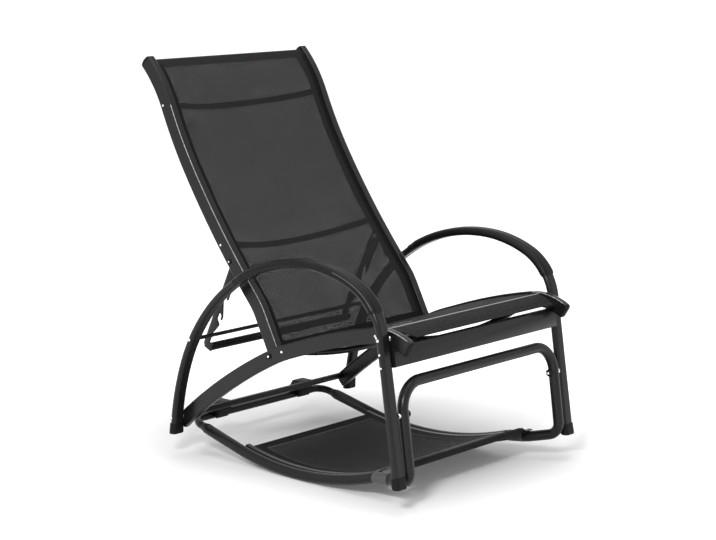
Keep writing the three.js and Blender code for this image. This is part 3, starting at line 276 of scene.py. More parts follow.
for name, line in (("side", side_line), ("seat", seat_line), ("back", back_line)):
    print(name, "line", round(line.length, 4), "m")

# %% [markdown]
# ## Profiles carried along lines
# A tube is one outline pushed along one line. Blender's curve bevel can do that, but it can't
# thin the tube at an end or round its rim. Here the outline is a small array, the line is
# another, and their product is the whole surface at once.

# %% Draw the outlines
def angles(count):
    return np.arange(count) * 2 * np.pi / count


def circle(radius, sides=28):
    """Points at radius (cos a, sin a)."""
    a = angles(sides)
    return radius * np.stack([np.cos(a), np.sin(a)], 1)


def flat_oval(thick, wide, half_sides=16):
    """Two half circles of the thickness, moved apart along the width."""
    a = np.linspace(0, np.pi, half_sides)
    half = np.stack([np.cos(a), np.sin(a)], 1) * thick / 2 + (0, (wide - thick) / 2)
    return np.concatenate([half, -half])


def corner_arcs(tall, wide, radius, parts=5):
    """Four quarter circles set in from the corners of a box."""
    a = np.radians(np.arange(4)[:, None] * 90 + np.linspace(0, 90, parts))
    sign = np.array([(1, 1), (-1, 1), (-1, -1), (1, -1)])[:, None]
    middle_of = sign * (tall / 2 - radius, wide / 2 - radius)
    return middle_of + radius * np.stack([np.cos(a), np.sin(a)], -1)


def rounded_box(tall, wide, radius):
    return corner_arcs(tall, wide, radius).reshape(-1, 2)


RAIL_TALL = 38 * MM
SLOT_UP = 14 * MM  # from a rail's middle line to its slot


def slotted_rail(wide, side):
    """The deep rail: a rounded box with a slot for the sling in its inner face.

    The slot's mouth has small round lips, and widens inside to hold the sling's edge.
    """
    arcs = corner_arcs(RAIL_TALL, wide, 3 * MM)
    lip = np.array([(2.9, 0), (2.0, -0.25), (1.7, -0.9), (1.7, -5)]) * MM
    mouth = np.concatenate([lip, lip[::-1] * (-1, 1)]) + (side * SLOT_UP, wide / 2)
    return np.concatenate([arcs[0], mouth, arcs[1:].reshape(-1, 2)])


print("rail outline has", len(slotted_rail(20 * MM, 1)), "points")

# %% Carry an outline along a line
def upright(line, s, x, beside=0.0):
    """Places and cross directions of a bend table at distance s, in the plane at x."""
    y, z, h = line.at(s, beside)
    flat = np.zeros_like(h)
    place = np.stack([x + flat, y + SHIFT_Y, z], -1)
    across = np.stack([flat, -np.sin(h), np.cos(h)], -1)
    return place, across, np.broadcast_to([1.0, 0, 0], place.shape)


def in_space(points, hint):
    """The same for a row of points: one cross direction leans to the hint, square to the
    line, and the other is square to both."""
    along = np.gradient(points, axis=0)
    along /= np.linalg.norm(along, axis=1, keepdims=True)
    across = hint - (along @ hint)[:, None] * along
    across /= np.linalg.norm(across, axis=1, keepdims=True)
    return points, across, np.cross(along, across)


def carry(outline, ways, swell=1.0):
    """Every outline point (u, v) at every place: place + u across + v beside. The outline
    runs anticlockwise, seen against the way of the line, so the skin faces outward. It may
    also be one outline for each place."""
    place, across, beside = ways
    shape = outline * np.broadcast_to(swell, (len(place), 2))[:, None]
    return (place[:, None] + shape[..., :1] * across[:, None]
            + shape[..., 1:] * beside[:, None])


def with_round_ends(start, end, step, rim, tall, wide):
    """Distances from start to end, and how far the outline shrinks at each: near an end the
    rim follows a quarter circle, s = rim (1 - sin a), inset = rim (1 - cos a)."""
    a = np.linspace(np.pi / 2, 0, 5)
    run = np.linspace(start + rim, end - rim, max(2, int((end - start) / step)))
    s = np.concatenate([start + rim * (1 - np.sin(a)), run[1:-1],
                        end - rim * (1 - np.sin(a[::-1]))])
    inset = np.concatenate([rim * (1 - np.cos(a)), run[1:-1] * 0, rim * (1 - np.cos(a[::-1]))])
    return s, 1 - np.stack([inset / (tall / 2), inset / (wide / 2)], 1)

def swept(outline, tall, wide, line, start, end, x, rim, beside=0.0, step=7 * MM):
    """An outline of that height and width along a bend table, from start to end."""
    s, swell = with_round_ends(start, end, step, rim, tall, wide)
    return carry(outline, upright(line, s, x, beside), swell)


def mirrored(skin):
    """The left piece from the right one: X turns over, and the order round it too."""
    return skin[:, ::-1] * (-1, 1, 1)


# %% [markdown]
# ## From arrays to objects
# A grid of points becomes quads by index sums, and each end gets one closing face. Where the
# outline turns sharply, powder coat wears first, so each point also keeps a number for wear,
# taken from how tight the outline bends there. The paint reads it as an attribute.

# %% Make a mesh from skins
def quads_of(rows, columns, closed):
    """Corner numbers of the quads of a grid, wrapped round where the outline is closed."""
    i = np.arange(rows - 1)[:, None] * columns
    j = np.arange(columns if closed else columns - 1)
    k = (j + 1) % columns
    return np.stack([i + j, i + k, i + columns + k, i + columns + j], -1).reshape(-1, 4)


WEAR_FROM, WEAR_SPAN = 150, 350  # turns of the outline, in radians over a metre


def wear_of(skin):
    """0 on smooth tube, 1 on a tight corner: the turn of the outline over its spacing."""
    after = np.roll(skin, -1, 1) - skin
    before = np.roll(after, 1, 1)
    long_a, long_b = np.linalg.norm(after, axis=-1), np.linalg.norm(before, axis=-1)
    dot = (after * before).sum(-1) / np.maximum(long_a * long_b, 1e-12)
    turn = np.arccos(np.clip(dot, -1, 1)) / np.maximum((long_a + long_b) / 2, 1e-6)
    return np.clip((turn - WEAR_FROM) / WEAR_SPAN, 0, 1)


def new_object(name, mesh, finish):
    """An object shaded smooth, in the material of its finish; the name of the finish's slot is not
    used.
    """
    mesh.materials.clear()
    mesh.materials.append(finish[0])
    mesh.shade_smooth()
    piece = bpy.data.objects.new(name, mesh)
    bpy.context.scene.collection.objects.link(piece)
    return piece


def hand_over(piece, body, nodes):
    """Parents the piece to its body's empty and hides the solids that it replaces."""
    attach(piece, body)
    if nodes:
        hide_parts(*nodes)
    print(piece.name, len(piece.data.polygons), "faces")
    return piece


def make_piece(name, skins, finish, body, nodes=(), closed=True, uv=None, sharp=40):
    """One object from several skins. It replaces its solids and moves with their body."""
    points, faces, wear, first = [], [], [], 0
    for skin in skins:
        rows, columns = skin.shape[:2]
        points.append(skin.reshape(-1, 3))
        wear.append(wear_of(skin).ravel() if closed else np.zeros(rows * columns))
        faces += (quads_of(rows, columns, closed) + first).tolist()
        if closed:
            last = first + (rows - 1) * columns
            faces += [list(range(first + columns - 1, first - 1, -1)),
                      list(range(last, last + columns))]
        first += rows * columns
    mesh = bpy.data.meshes.new(name)
    mesh.from_pydata(np.concatenate(points).tolist(), [], faces)
    piece = new_object(name, mesh, finish)
    mesh.set_sharp_from_angle(angle=math.radians(sharp))
    worn = mesh.attributes.new("wear", "FLOAT", "POINT")
    worn.data.foreach_set("value", np.concatenate(wear).astype(np.float32))
    if uv is not None:
        corner = np.zeros(len(mesh.loops), int)
        mesh.loops.foreach_get("vertex_index", corner)
        layer = mesh.uv_layers.new(name="cloth")
        layer.data.foreach_set("uv", uv.reshape(-1, 2)[corner].astype(np.float32).ravel())
    if closed:
        # large faces rule the shading of their corners, so flat sides look flat
        shading = piece.modifiers.new("flat_sides_stay_flat", "WEIGHTED_NORMAL")
        shading.keep_sharp = True
    return hand_over(piece, body, nodes)


def make_pair(name, skins, finish, body, *nodes):
    """The piece on the sitter's right, and its mirror image on the left."""
    for side, there in (("right", skins), ("left", [mirrored(skin) for skin in skins])):
        make_piece(f"{name}_{side}", there, finish, body, [f"{one}_{side}" for one in nodes])


# %% Copy a solid and round its edges
def softened(name, node_name, finish, body, edge, sides=("_right", "_left")):
    """Copies of solids, their triangles merged into whole faces and their edges rounded."""
    for side in sides:
        shell = bmesh.new()
        shell.from_mesh(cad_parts[node_name + side].data)
        bmesh.ops.remove_doubles(shell, verts=shell.verts, dist=0.01 * MM)
        bmesh.ops.dissolve_limit(shell, angle_limit=math.radians(1), verts=shell.verts,
                                 edges=shell.edges)
        mesh = bpy.data.meshes.new(name + side)
        shell.to_mesh(mesh)
        shell.free()
        piece = new_object(name + side, mesh, finish)
        rounding = piece.modifiers.new("rounded_edges", "BEVEL")
        rounding.width, rounding.segments = edge, 3
        rounding.limit_method, rounding.angle_limit = "ANGLE", math.radians(30)
        rounding.harden_normals = True
        hand_over(piece, body, [node_name + side])


# %% [markdown]
# ## Powder coat
# Powder coat is paint baked on as dust, so it flows into a faint orange peel about a
# millimetre across, with a slow change of sheen from thicker to thinner paint. One flat black
# would look like plastic. Two noises on object coordinates give the peel and the sheen, and
# the wear attribute lightens tight corners where hands and slings rub.

# %% Short calls for finishes
def new_finish(name, **sockets):
    """A material with its constants on the shader's own sockets."""
    finish = bpy.data.materials.new(name)
    finish.use_nodes = True
    shader = finish.node_tree.nodes["Principled BSDF"]
    for socket, value in sockets.items():
        shader.inputs[socket.replace("_", " ")].default_value = value
    return finish, finish.node_tree, shader


def blend_colors(tree, share, first, second):
    """A Mix node between two colours."""
    mix = tree.nodes.new("ShaderNodeMix")
    mix.data_type = "RGBA"
    plug(tree, mix.inputs["Factor"], share)
    for socket, value in ((mix.inputs[6], first), (mix.inputs[7], second)):
        plug(tree, socket, value)
    return mix.outputs[2]


def grey(level, blue=1.03):
    return level, level, level * blue, 1


def surface_noise(tree, size, detail=2.0, roughness=0.5):
    """Noise whose grain is about so many metres across, on object coordinates."""
    place = node(tree, "TexCoord").outputs["Object"]
    return node(tree, "TexNoise", Vector=place, Scale=1 / size, Detail=detail,
                Roughness=roughness).outputs["Fac"]


def spread(tree, value, low, high, to_low, to_high):
    """Stretches a value from one range to another and keeps it inside."""
    return node(tree, "MapRange", Value=value, From_Min=low, From_Max=high, To_Min=to_low,
                To_Max=to_high).outputs[0]


def paint(tree, shader, share, first, second):
    """The shader's colour, between two colours."""
    plug(tree, shader.inputs["Base Color"], blend_colors(tree, share, first, second))


def roughen(tree, shader, noise, low, high):
    """Roughness from low to high over a noise's middle range."""
    plug(tree, shader.inputs["Roughness"], spread(tree, noise, 0.3, 0.7, low, high))


def raise_by(tree, shader, height, depth, strength=1.0):
    """Bump of a depth in metres into the shader's normal."""
    bump = node(tree, "Bump", Height=height, Distance=depth, Strength=strength)
    tree.links.new(bump.outputs[0], shader.inputs["Normal"])


# %% Bake the powder coat
def powder_coat(name, level):
    coat, tree, shader = new_finish(name, Specular_IOR_Level=0.23)
    wear = node(tree, "Attribute")
    wear.attribute_name = "wear"
    patches = spread(tree, surface_noise(tree, 6 * MM, 4, 0.7), 0.42, 0.66, 0, 0.5)
    rub = calc(tree, "MULTIPLY", wear.outputs["Fac"], patches)
    dust = spread(tree, surface_noise(tree, 0.5 * MM, 1), 0.35, 0.7, 0, 1)
    base = blend_colors(tree, dust, grey(level * 0.85), grey(level * 1.25))
    paint(tree, shader, rub, base, grey(level * 4))
    sheen = spread(tree, surface_noise(tree, 60 * MM, 3), 0.3, 0.7, 0.25, 0.33)
    plug(tree, shader.inputs["Roughness"],
         calc(tree, "ADD", sheen, calc(tree, "MULTIPLY", rub, 0.2)))
    raise_by(tree, shader, surface_noise(tree, 1.1 * MM, 2), 0.03 * MM)
    return coat, "frame_paint"


black_coat = powder_coat("satin_black_powder_coat", 0.007)
# painted highlight: a near white coat for the thin bright lines along the rails' corners
painted_highlight_coat = powder_coat("painted_highlight_edge_coat", 0.2)
# painted highlight: a coat ten times lighter than the black, for the light that the runner joints'
# sleeves face
sleeve_highlight_coat = powder_coat("joint_sleeve_highlight_coat", 0.07)
# painted highlight: the sleeves' lighter coat, used again for the lines along the arm pads' edges
pad_highlight_coat = sleeve_highlight_coat[0], "black_plastic"
print("powder coat mixed")

# %% [markdown]
# ## Moulded plastic and zinc
# The arm pads, caps and clips are moulded with a fine spark-eroded grain that scatters light,
# so they look blacker and duller than the tubes. The bolts are zinc plated steel: bright, with
# a slight cloudiness from the bath.

# %% Mix the plastic and the zinc
def moulded(name, level, roughness):
    plastic, tree, shader = new_finish(name, Specular_IOR_Level=0.14)
    cloud = spread(tree, surface_noise(tree, 20 * MM, 3), 0.3, 0.7, 0, 1)
    paint(tree, shader, cloud, grey(level * 0.85), grey(level * 1.2))
    grain = surface_noise(tree, 0.35 * MM, 2, 0.6)
    roughen(tree, shader, grain, roughness - 0.06, roughness + 0.06)
    raise_by(tree, shader, grain, 0.05 * MM)
    return plastic, "black_plastic"


def zinc_plate(name):
    plate, tree, shader = new_finish(name, Metallic=1.0)
    cloud = surface_noise(tree, 1.5 * MM, 3, 0.6)
    paint(tree, shader, cloud, (0.62, 0.63, 0.64, 1), (0.80, 0.80, 0.81, 1))
    roughen(tree, shader, cloud, 0.22, 0.36)
    raise_by(tree, shader, surface_noise(tree, 0.4 * MM, 1), 0.008 * MM)
    return plate, "zinc"


black_plastic = moulded("moulded_black_plastic", 0.004, 0.5)
pad_plastic = moulded("soft_black_arm_pad", 0.004, 0.42)
zinc = zinc_plate("zinc_plated_steel")
print("plastic and zinc mixed")

# %% [markdown]
# ## Side frames
# Each side frame is one flat oval tube: front leg, arm and rear leg. It could be a swept curve
# object, but the bend table keeps the picture's arcs, from the tight bend over the front leg
# to the long slack curve of the rear leg.

# %% Bend the side tubes
GAP = 0.3 * MM  # left between neighbours that are fitted together
TUBE_THICK, TUBE_WIDE = 18 * MM, 35 * MM
SIDE_X = -(351 - 17.5) * MM

# the leg leans, so its square end starts higher by what the end's lower edge hangs down
tube_start = 3 * MM + TUBE_THICK / 2 * math.cos(math.radians(LEG_LEAN))
side_tube = swept(flat_oval(TUBE_THICK, TUBE_WIDE), TUBE_THICK, TUBE_WIDE, side_line, tube_start,
                  rear_foot - tube_start, SIDE_X, 0.8 * MM, step=8 * MM)
make_pair("side_tube", [side_tube], black_coat, "chair_frame", "side_frame")

# %% [markdown]
# ## Foot caps
# A cap is a moulded cup pushed over the tube's end, thicker at the sole, with a groove under
# its rim. It stands level although the leg leans. So each point of its outline slides along
# the leg's own axis down to the sole's level, and the rings above share out the rest.

# %% Mould the foot caps
def foot_cap(foot, upward):
    """Rings of the tube's outline, grown by a margin, from the level sole to the rim."""
    y, z, h = side_line.at(foot)
    h = h if upward > 0 else h + math.pi
    axis = np.array([0, math.cos(h), math.sin(h)])
    across = np.array([0, -math.sin(h), math.cos(h)])
    rows = np.array([  # share of the height, margin in mm, as moulded
        (0, 0.6), (0, 1.9), (0.03, 2.7), (0.07, 3), (0.3, 2.9), (0.72, 2.4), (0.74, 1.8),
        (0.8, 1.8), (0.82, 2.4), (0.96, 2.3), (0.99, 2.0), (1, 1.5), (1, 0.4), (0.9, 0.35)])
    height = 27 * MM
    rings = []
    for share, margin in rows:
        outline = flat_oval(TUBE_THICK + 2 * margin * MM, TUBE_WIDE + 2 * margin * MM)
        flat = (np.array([SIDE_X, y + SHIFT_Y, z]) + outline[:, :1] * across
                + outline[:, 1:] * np.array([1, 0, 0]))
        sole = (FOOT_Z - flat[:, 2]) / axis[2]
        rings.append(flat + (sole + (height - sole) * share)[:, None] * axis)
    return np.stack(rings)


for place, foot, upward in (("front", 0.0, 1), ("rear", rear_foot, -1)):
    make_pair("foot_cup_" + place, [foot_cap(foot, upward)], black_plastic, "chair_frame",
              "foot_cap_" + place)

# %% [markdown]
# ## Arm pads
# The pad is a long moulded gutter that wraps the outside of the arm. Its front end is cut
# square with a thin lip, and at the rear it steps down to a thin collar. A thick line drawn
# round the tube's outline gives the gutter, and the margin changes along the arm.

# %% Mould the arm pads
def gutter(inner, outer):
    """A thick line round the outer half of the flat oval, with round lips at both ends.

    Its middle follows the oval at half the two margins; half a thickness to either side of
    it, along the outline's own direction outward, gives the two faces.
    """
    wrap, points = 28, 12
    a = np.radians(np.concatenate([np.linspace(180 + wrap, 90, points),
                                   np.linspace(90, -wrap, points)]))
    side = np.repeat([-1, 1], points) * (TUBE_WIDE - TUBE_THICK) / 2
    out = np.stack([np.sin(a), np.cos(a)], 1)

    def face(margin):
        return np.stack([side * 0, side], 1) + out * (TUBE_THICK / 2 + margin)

    t = np.linspace(0, np.pi, 7)[1:-1, None]
    lips = []
    for end, turn in ((-1, 1), (0, -1)):
        centre = face((inner + outer) / 2)[end]
        tip = np.array([-out[end][1], out[end][0]]) * turn
        lips.append(centre + (outer - inner) / 2 * (turn * out[end] * np.cos(t) + tip * np.sin(t)))
    return np.concatenate([face(outer), lips[0], face(inner)[::-1], lips[1]])


PAD_LONG = 497 * MM
pad_start = side_line.start[1] + 56.4 * MM
pad_rows = np.array([  # distance from an end in mm, outer margin there
    (0, 1.2), (0, 2.0), (0.5, 2.5), (3.5, 2.5), (4.2, 3.4), (5.2, 3.85), (7, 4)])
rear_rows = np.array([(0, 1.2), (0, 1.9), (0.5, 2.2), (15, 2.2), (17, 2.8), (24, 3.8), (30, 4)])
run = np.linspace(pad_start + 8 * MM, pad_start + PAD_LONG - 31 * MM, 62)
s = np.concatenate([pad_start + pad_rows[:, 0] * MM, run,
                    pad_start + PAD_LONG - rear_rows[::-1, 0] * MM])
margin = np.concatenate([pad_rows[:, 1], 0 * run + 4, rear_rows[::-1, 1]]) * MM
inner = np.full(len(margin), GAP)
inner[[0, -1]] = 0.8 * MM
rings = np.stack([gutter(*pair) for pair in zip(inner, margin)])
make_pair("arm_pad_cover", [carry(rings, upright(side_line, s, SIDE_X))], pad_plastic,
          "chair_frame", "arm_pad")


def pad_highlight_bead(turn, reach):
    """A fine raised line along the pad's outer side, at an angle round its outline, coloured
    lighter: a painted highlight along the pad's edge.
    """
    around = 12.7 * MM
    up = around * math.sin(math.radians(turn))
    out = around * math.cos(math.radians(turn)) - (TUBE_WIDE - TUBE_THICK) / 2
    return swept(circle(0.7 * MM, 10), 1.4 * MM, 1.4 * MM, side_line, pad_start + 8 * MM,
                 pad_start + reach, SIDE_X + out, 0.7 * MM, up)


# painted highlight: two light lines where the pad's edges catch the light
make_pair("arm_pad_highlight_lines", [pad_highlight_bead(148, 150 * MM), pad_highlight_bead(203, 230 * MM)],
          pad_highlight_coat, "chair_frame")

# %% [markdown]
# ## Seat and back rails
# These are deep flat extrusions with a slot in the inner face, where the sling's welt slides
# in. Rounded plugs close both ends of every rail.

# %% Draw out the rails
SEAT_OUT, SEAT_IN = 313.7 * MM, 295.7 * MM
BACK_OUT, BACK_IN = 293.0 * MM, 273.0 * MM
SEAT_WIDE, BACK_WIDE = 18 * MM, 20 * MM
SEAT_X, BACK_X = -(SEAT_OUT + SEAT_IN) / 2, -(BACK_OUT + BACK_IN) / 2

# from its rear end to the pivot the rail is one arc, tangent to the rest of the line there
end_y, end_z, end_h = seat_line.at(SEAT_PIVOT)
chord_y, chord_z = end_y - seat_line.y[0], end_z - seat_line.z[0]
bend = 2 * (end_h - math.atan2(chord_z, chord_y))
rear_arc = math.hypot(chord_y, chord_z) * bend / 2 / math.sin(bend / 2)
rest_of_lift = 15.2 - math.degrees(end_h - seat_line.heading[1])
arched_line = BendTable(seat_line.y[0], seat_line.z[0], math.degrees(end_h - bend),
                        (rear_arc / MM, math.degrees(bend)), arc(490, rest_of_lift), *seat_front)
print("the rear stretch turns", round(math.degrees(bend), 1), "degrees")

for name, line, wide, x, side, body in (
        ("seat_rail", arched_line, SEAT_WIDE, SEAT_X, -1, "chair_frame"),
        ("back_rail", back_line, BACK_WIDE, BACK_X, 1, "backrest")):
    rail = swept(slotted_rail(wide, side), RAIL_TALL, wide, line, 0, line.length, x, 0.6 * MM)
    make_pair(name + "_tube", [rail], black_coat, body, name)

# %% Paint highlight lines into the rails' corners
BEAD_IN = 1.25 * MM
CORNER = RAIL_TALL / 2 - BEAD_IN


def corner_highlight_bead(line, start, end, beside, x):
    """A bead of a millimetre sunk into a corner, coloured near white: a painted highlight along the
    corner.
    """
    return swept(circle(1.0 * MM, 10), 2 * MM, 2 * MM, line, start, end, x, 0.8 * MM, beside)


# painted highlight: light beads along the back rail's outer corner and the seat rails' corners near
# the front
make_pair("back_rail_painted_highlight_corner",
          [corner_highlight_bead(back_line, 22 * MM, back_line.length - 135 * MM, CORNER,
                       -BACK_OUT + BEAD_IN)], painted_highlight_coat, "backrest")
make_pair("seat_rail_painted_highlight_corners",
          [corner_highlight_bead(arched_line, arched_line.length - 100 * MM, arched_line.length - 8 * MM,
                       -CORNER, x) for x in (-SEAT_OUT + BEAD_IN, -SEAT_IN - BEAD_IN)],
          painted_highlight_coat, "chair_frame")

# %% Close the rails with plugs
PLUG_TALL, PLUG_WIDE = 38.8 * MM, 18.8 * MM
for end_name, start, end in (
        ("front", arched_line.length - 4 * MM, arched_line.length + 7.5 * MM),
        ("rear", -7.5 * MM, 4 * MM)):
    plug_skin = swept(rounded_box(PLUG_TALL, PLUG_WIDE, 6 * MM), PLUG_TALL, PLUG_WIDE,
                      arched_line, start, end, SEAT_X, 7 * MM, step=2 * MM)
    make_pair(f"seat_rail_{end_name}_plug", [plug_skin], black_plastic, "chair_frame",
              f"seat_rail_{end_name}_cap")
for node_name in ("back_rail_foot", "back_rail_top_cap"):
    softened(node_name + "_plug", node_name, black_plastic, "backrest", 3.2 * MM)

# %% [markdown]
# ## Crossbars and braces
# Round bars join the two sides. Those under a sling are bowed away from it, so that the cloth
# never lies on them. A parabola is the easiest bow: its depth is 1 - t squared, for t from -1
# at one rail to 1 at the other.

# %% Bow and place the bars
ACROSS = np.linspace(-1, 1, 61)  # places from edge to edge, as shares of the half width


def bowed_bar(half, y, z, bow, toward=(0, -1)):
    """A round bar between x = -half and half, its middle moved by the bow toward (y, z)."""
    depth = bow * (1 - ACROSS ** 2)
    points = np.stack([ACROSS * half, y + SHIFT_Y + toward[0] * depth, z + toward[1] * depth], 1)
    return carry(circle(8 * MM), in_space(points, np.array([0, -toward[1], toward[0]])))


def straight_bar(diameter, half, y, z):
    s, swell = with_round_ends(-half, half, 30 * MM, 0.8 * MM, diameter, diameter)
    points = np.stack([s, s * 0 + y + SHIFT_Y, s * 0 + z], 1)
    return carry(circle(diameter / 2), in_space(points, np.array([0, 0, 1.0])), swell)


def coated(name, skin, node_name, body="chair_frame"):
    make_piece(name, [skin], black_coat, body, [node_name])


seat_half, back_half = SEAT_IN - GAP, BACK_IN - GAP
front_bar = seat_line.at(seat_line.length - 100 * MM)
coated("front_seat_bar", bowed_bar(seat_half, *front_bar[:2], 46 * MM), "front_crossbar")
seat_bar = seat_line.at(SEAT_PIVOT + 45.9 * MM, -3 * MM)
coated("middle_seat_bar", bowed_bar(seat_half, *seat_bar[:2], 36 * MM), "seat_crossbar")
coated("rear_bar", straight_bar(17 * MM, seat_half, REAR_BAR_Y, REAR_BAR_Z), "rear_crossbar")
rod_y, rod_z, _ = side_line.at(side_line.where_z(FOOT_Z + 259 * MM, arm_top, rear_foot))
coated("rest_bar", straight_bar(10 * MM, 315.7 * MM, rod_y, rod_z), "rest_rod")

CLOTH_ROUND = 1.3 * MM  # from a bar's skin to the middle of the cloth round it
wrap_radius = 10 * MM + CLOTH_ROUND
top_bar_s = back_line.length - 11 * MM
top_bar = back_line.at(top_bar_s, SLOT_UP - wrap_radius)
coated("top_bar", straight_bar(20 * MM, back_half, *top_bar[:2]), "back_top_bar", "backrest")
brace_ends = []
for name, s in (("upper", back_line.length - 128 * MM), ("middle", BACK_PIVOT + 318 * MM)):
    y, z, h = back_line.at(s, -8 * MM)
    brace_ends.append((y, z))
    coated(name + "_bowed_brace", bowed_bar(back_half, y, z, 50 * MM, (math.sin(h), -math.cos(h))),
           name + "_brace", "backrest")
softened("apron_bar", "front_apron", black_coat, "chair_frame", 1.2 * MM, [""])

# %% [markdown]
# ## Toothed back support
# Two flat plates hang from the back rails and hook over the rest bar; a flat crossbar joins
# them. They are stamped, so their outline is exact and their edges are barely broken. The
# solid model already has the teeth, so a copy of it gets a fine rounding.

# %% Finish the plates and their crossbar
softened("toothed_plate", "support_plate", black_coat, "back_support", 0.5 * MM)
softened("support_bar", "support_crossbar", black_coat, "back_support", 1.0 * MM, [""])

# %% [markdown]
# ## Rocker frame
# The front hoop swings on the front legs. Its feet run into the curved runners, and a narrower
# loop plugs into the runners behind. These lines leave the upright plane at the hoop's ankles,
# so the corners of a line in space are rounded one by one and the tube is carried along that.

# %% Round a line's corners
def running_length(line):
    """How far each place lies along a line in space."""
    return running(np.linalg.norm(np.diff(line, axis=0), axis=1))


def walk(line, s):
    """The places at distances s along a line in space."""
    return np.stack([np.interp(s, running_length(line), line[:, i]) for i in range(3)], 1)


def eased(share):
    """3 t^2 - 2 t^3, flat before 0 and after 1."""
    t = np.clip(share, 0, 1)
    return t * t * (3 - 2 * t)


def rounded_line(corners, radii, step=5 * MM):
    """Replaces each inner corner by an arc: it starts radius tan(turn / 2) before the corner,
    round a centre on the middle line of the corner."""
    pieces = [corners[:1]]
    for before, corner, after, radius in zip(corners, corners[1:], corners[2:], radii):
        back, ahead = before - corner, after - corner
        back, ahead = back / np.linalg.norm(back), ahead / np.linalg.norm(ahead)
        turn = math.pi - math.acos(float(back @ ahead))
        bisector = (back + ahead) / np.linalg.norm(back + ahead)
        centre = corner + bisector * radius / math.cos(turn / 2)
        first = corner + back * radius * math.tan(turn / 2) - centre
        last = corner + ahead * radius * math.tan(turn / 2) - centre
        a = np.linspace(0, turn, max(6, int(turn * radius / step)))[:, None]
        pieces.append(centre + (first * np.sin(turn - a) + last * np.sin(a)) / math.sin(turn))
    line = np.concatenate([*pieces, corners[-1:]])
    far = running_length(line)
    return walk(line, np.unique(np.concatenate([far, np.arange(0, far[-1], 12 * MM)])))




# %% Write the runners' bend table
HINGE_Y, HINGE_Z = in_tables("rocker_spacer_right")
HOOP_X, HOOP_R, RUNNER_R, LOOP_R = 296.0 * MM, 13.5 * MM, 14.25 * MM, 10 * MM
RUNNER_SKIN = RUNNER_R * math.cos(math.pi / 12)  # so that it stands on the floor, not in it
RUNNER_X = HOOP_X - 33 * MM
runner_moves = [(40, 0), arc(845, 15.7), arc(845, 13.9)]
runner_trial = BendTable(0, 0, -15.7, *runner_moves)
low_y, low_z, _ = runner_trial.at(runner_trial.start[2])
runner_y = HINGE_Y + 382.6 * MM - low_y
bend_y, _, bend_h = runner_trial.at(runner_trial.length)
loop_reach = GAP + 3 * MM + 36 * MM
rear_straight = (REAR_BAR_Y + 28.9 * MM - runner_y - bend_y) / math.cos(bend_h) - loop_reach
runner_line = BendTable(runner_y, RUNNER_SKIN - low_z, -15.7, *runner_moves,
                        (rear_straight / MM, 0))


def runner_x(s):
    """The runners draw in toward the rear, by the square of the distance."""
    return -RUNNER_X + 14 * MM * (s / runner_line.length) ** 2


# %% Carry a tube across the middle
def across_middle(right_half, radii, hint, radius):
    """A tube through corners on the right, then through their mirror images on the left."""
    corners = np.concatenate([right_half, right_half[::-1] * (-1, 1, 1)])
    line = rounded_line(corners, np.array(radii) * MM)
    return line, carry(circle(radius), in_space(line, np.array(hint)))


# %% Bend the rocker frame's tubes
s, swell = with_round_ends(0, runner_line.length, 8 * MM, 1.2 * MM, 2 * RUNNER_R, 2 * RUNNER_R)
neck = 1 - 0.26 * eased((s - runner_line.length + 16 * MM) / (12 * MM))  # swaged at its end
runner = carry(circle(RUNNER_SKIN), upright(runner_line, s, runner_x(s)), swell * neck[:, None])
make_pair("runner_tube", [runner], black_coat, "rocker_frame", "runner")

socket_y, socket_z, socket_h = runner_line.at(0)
start = (-RUNNER_X, socket_y - GAP * math.cos(socket_h), socket_z - GAP * math.sin(socket_h))
ankle = (-HOOP_X + 29.5 * MM, HINGE_Y + 56.7 * MM, HINGE_Z - 175 * MM)
knee = (-HOOP_X, HINGE_Y - 24.3 * MM, HINGE_Z - 158 * MM)
shoulder = (-HOOP_X, HINGE_Y + 8.2 * MM, HINGE_Z + 72 * MM)
hoop_line, hoop = across_middle(np.array([start, ankle, knee, shoulder]) + (0, SHIFT_Y, 0),
                                [60, 30, 67, 67, 30, 60], [0.6, 0.75, -0.3], HOOP_R)
coated("hoop_tube", hoop, "front_hoop", "rocker_frame")

SLEEVE_R = 14.5 * MM
s, swell = with_round_ends(0, 50 * MM, 4 * MM, 2.5 * MM, 2 * SLEEVE_R, 2 * SLEEVE_R)
sleeve = carry(circle(SLEEVE_R), in_space(walk(hoop_line, s), np.array([0.0, 0.3, 1])), swell)
# painted highlight: the sleeve is coloured lighter for the light on it
make_pair("runner_joint_sleeve", [sleeve], sleeve_highlight_coat, "rocker_frame")

plug_y, plug_z, plug_h = runner_line.at(runner_line.length)
plug_way = np.array([0, math.cos(plug_h), math.sin(plug_h)])
plug_place = np.array([-(HOOP_X - 47 * MM), plug_y + SHIFT_Y, plug_z])
_, loop = across_middle(plug_place + np.array([[GAP], [loop_reach]]) * plug_way, [36, 36],
                        [0.0, -0.25, 1], LOOP_R)
coated("loop_tube", loop, "rear_loop_bar", "rocker_frame")

# %% [markdown]
# ## Foot panel and clips
# A small sling between the runners carries the feet when the rocker frame is swung out. Its
# side rails are small box tubes on the runners' inner faces. The front bar's ends are hammered
# flat and lie on the hoop's ankles. One function does that: along the bar, the outline slides
# from a circle to a flat strip.

# %% Build the foot panel's frame
PANEL_TALL, PANEL_WIDE, PANEL_UP = 18 * MM, 16 * MM, 3 * MM
panel_end = runner_line.length - 151.1 * MM
s, swell = with_round_ends(0, panel_end, 8 * MM, 1 * MM, PANEL_TALL, PANEL_WIDE)
inner_x = runner_x(s) + RUNNER_R + GAP + PANEL_WIDE / 2
panel_rail = carry(rounded_box(PANEL_TALL, PANEL_WIDE, 3 * MM),
                   upright(runner_line, s, inner_x, PANEL_UP), swell)
make_pair("panel_rail_tube", [panel_rail], black_coat, "rocker_frame", "foot_panel_rail")
panel_bar = runner_line.at(panel_end - 16 * MM, PANEL_UP)
rear_rod = straight_bar(12 * MM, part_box("foot_panel_rear_bar")[1].x, *panel_bar[:2])
coated("panel_rear_rod", rear_rod, "foot_panel_rear_bar", "rocker_frame")


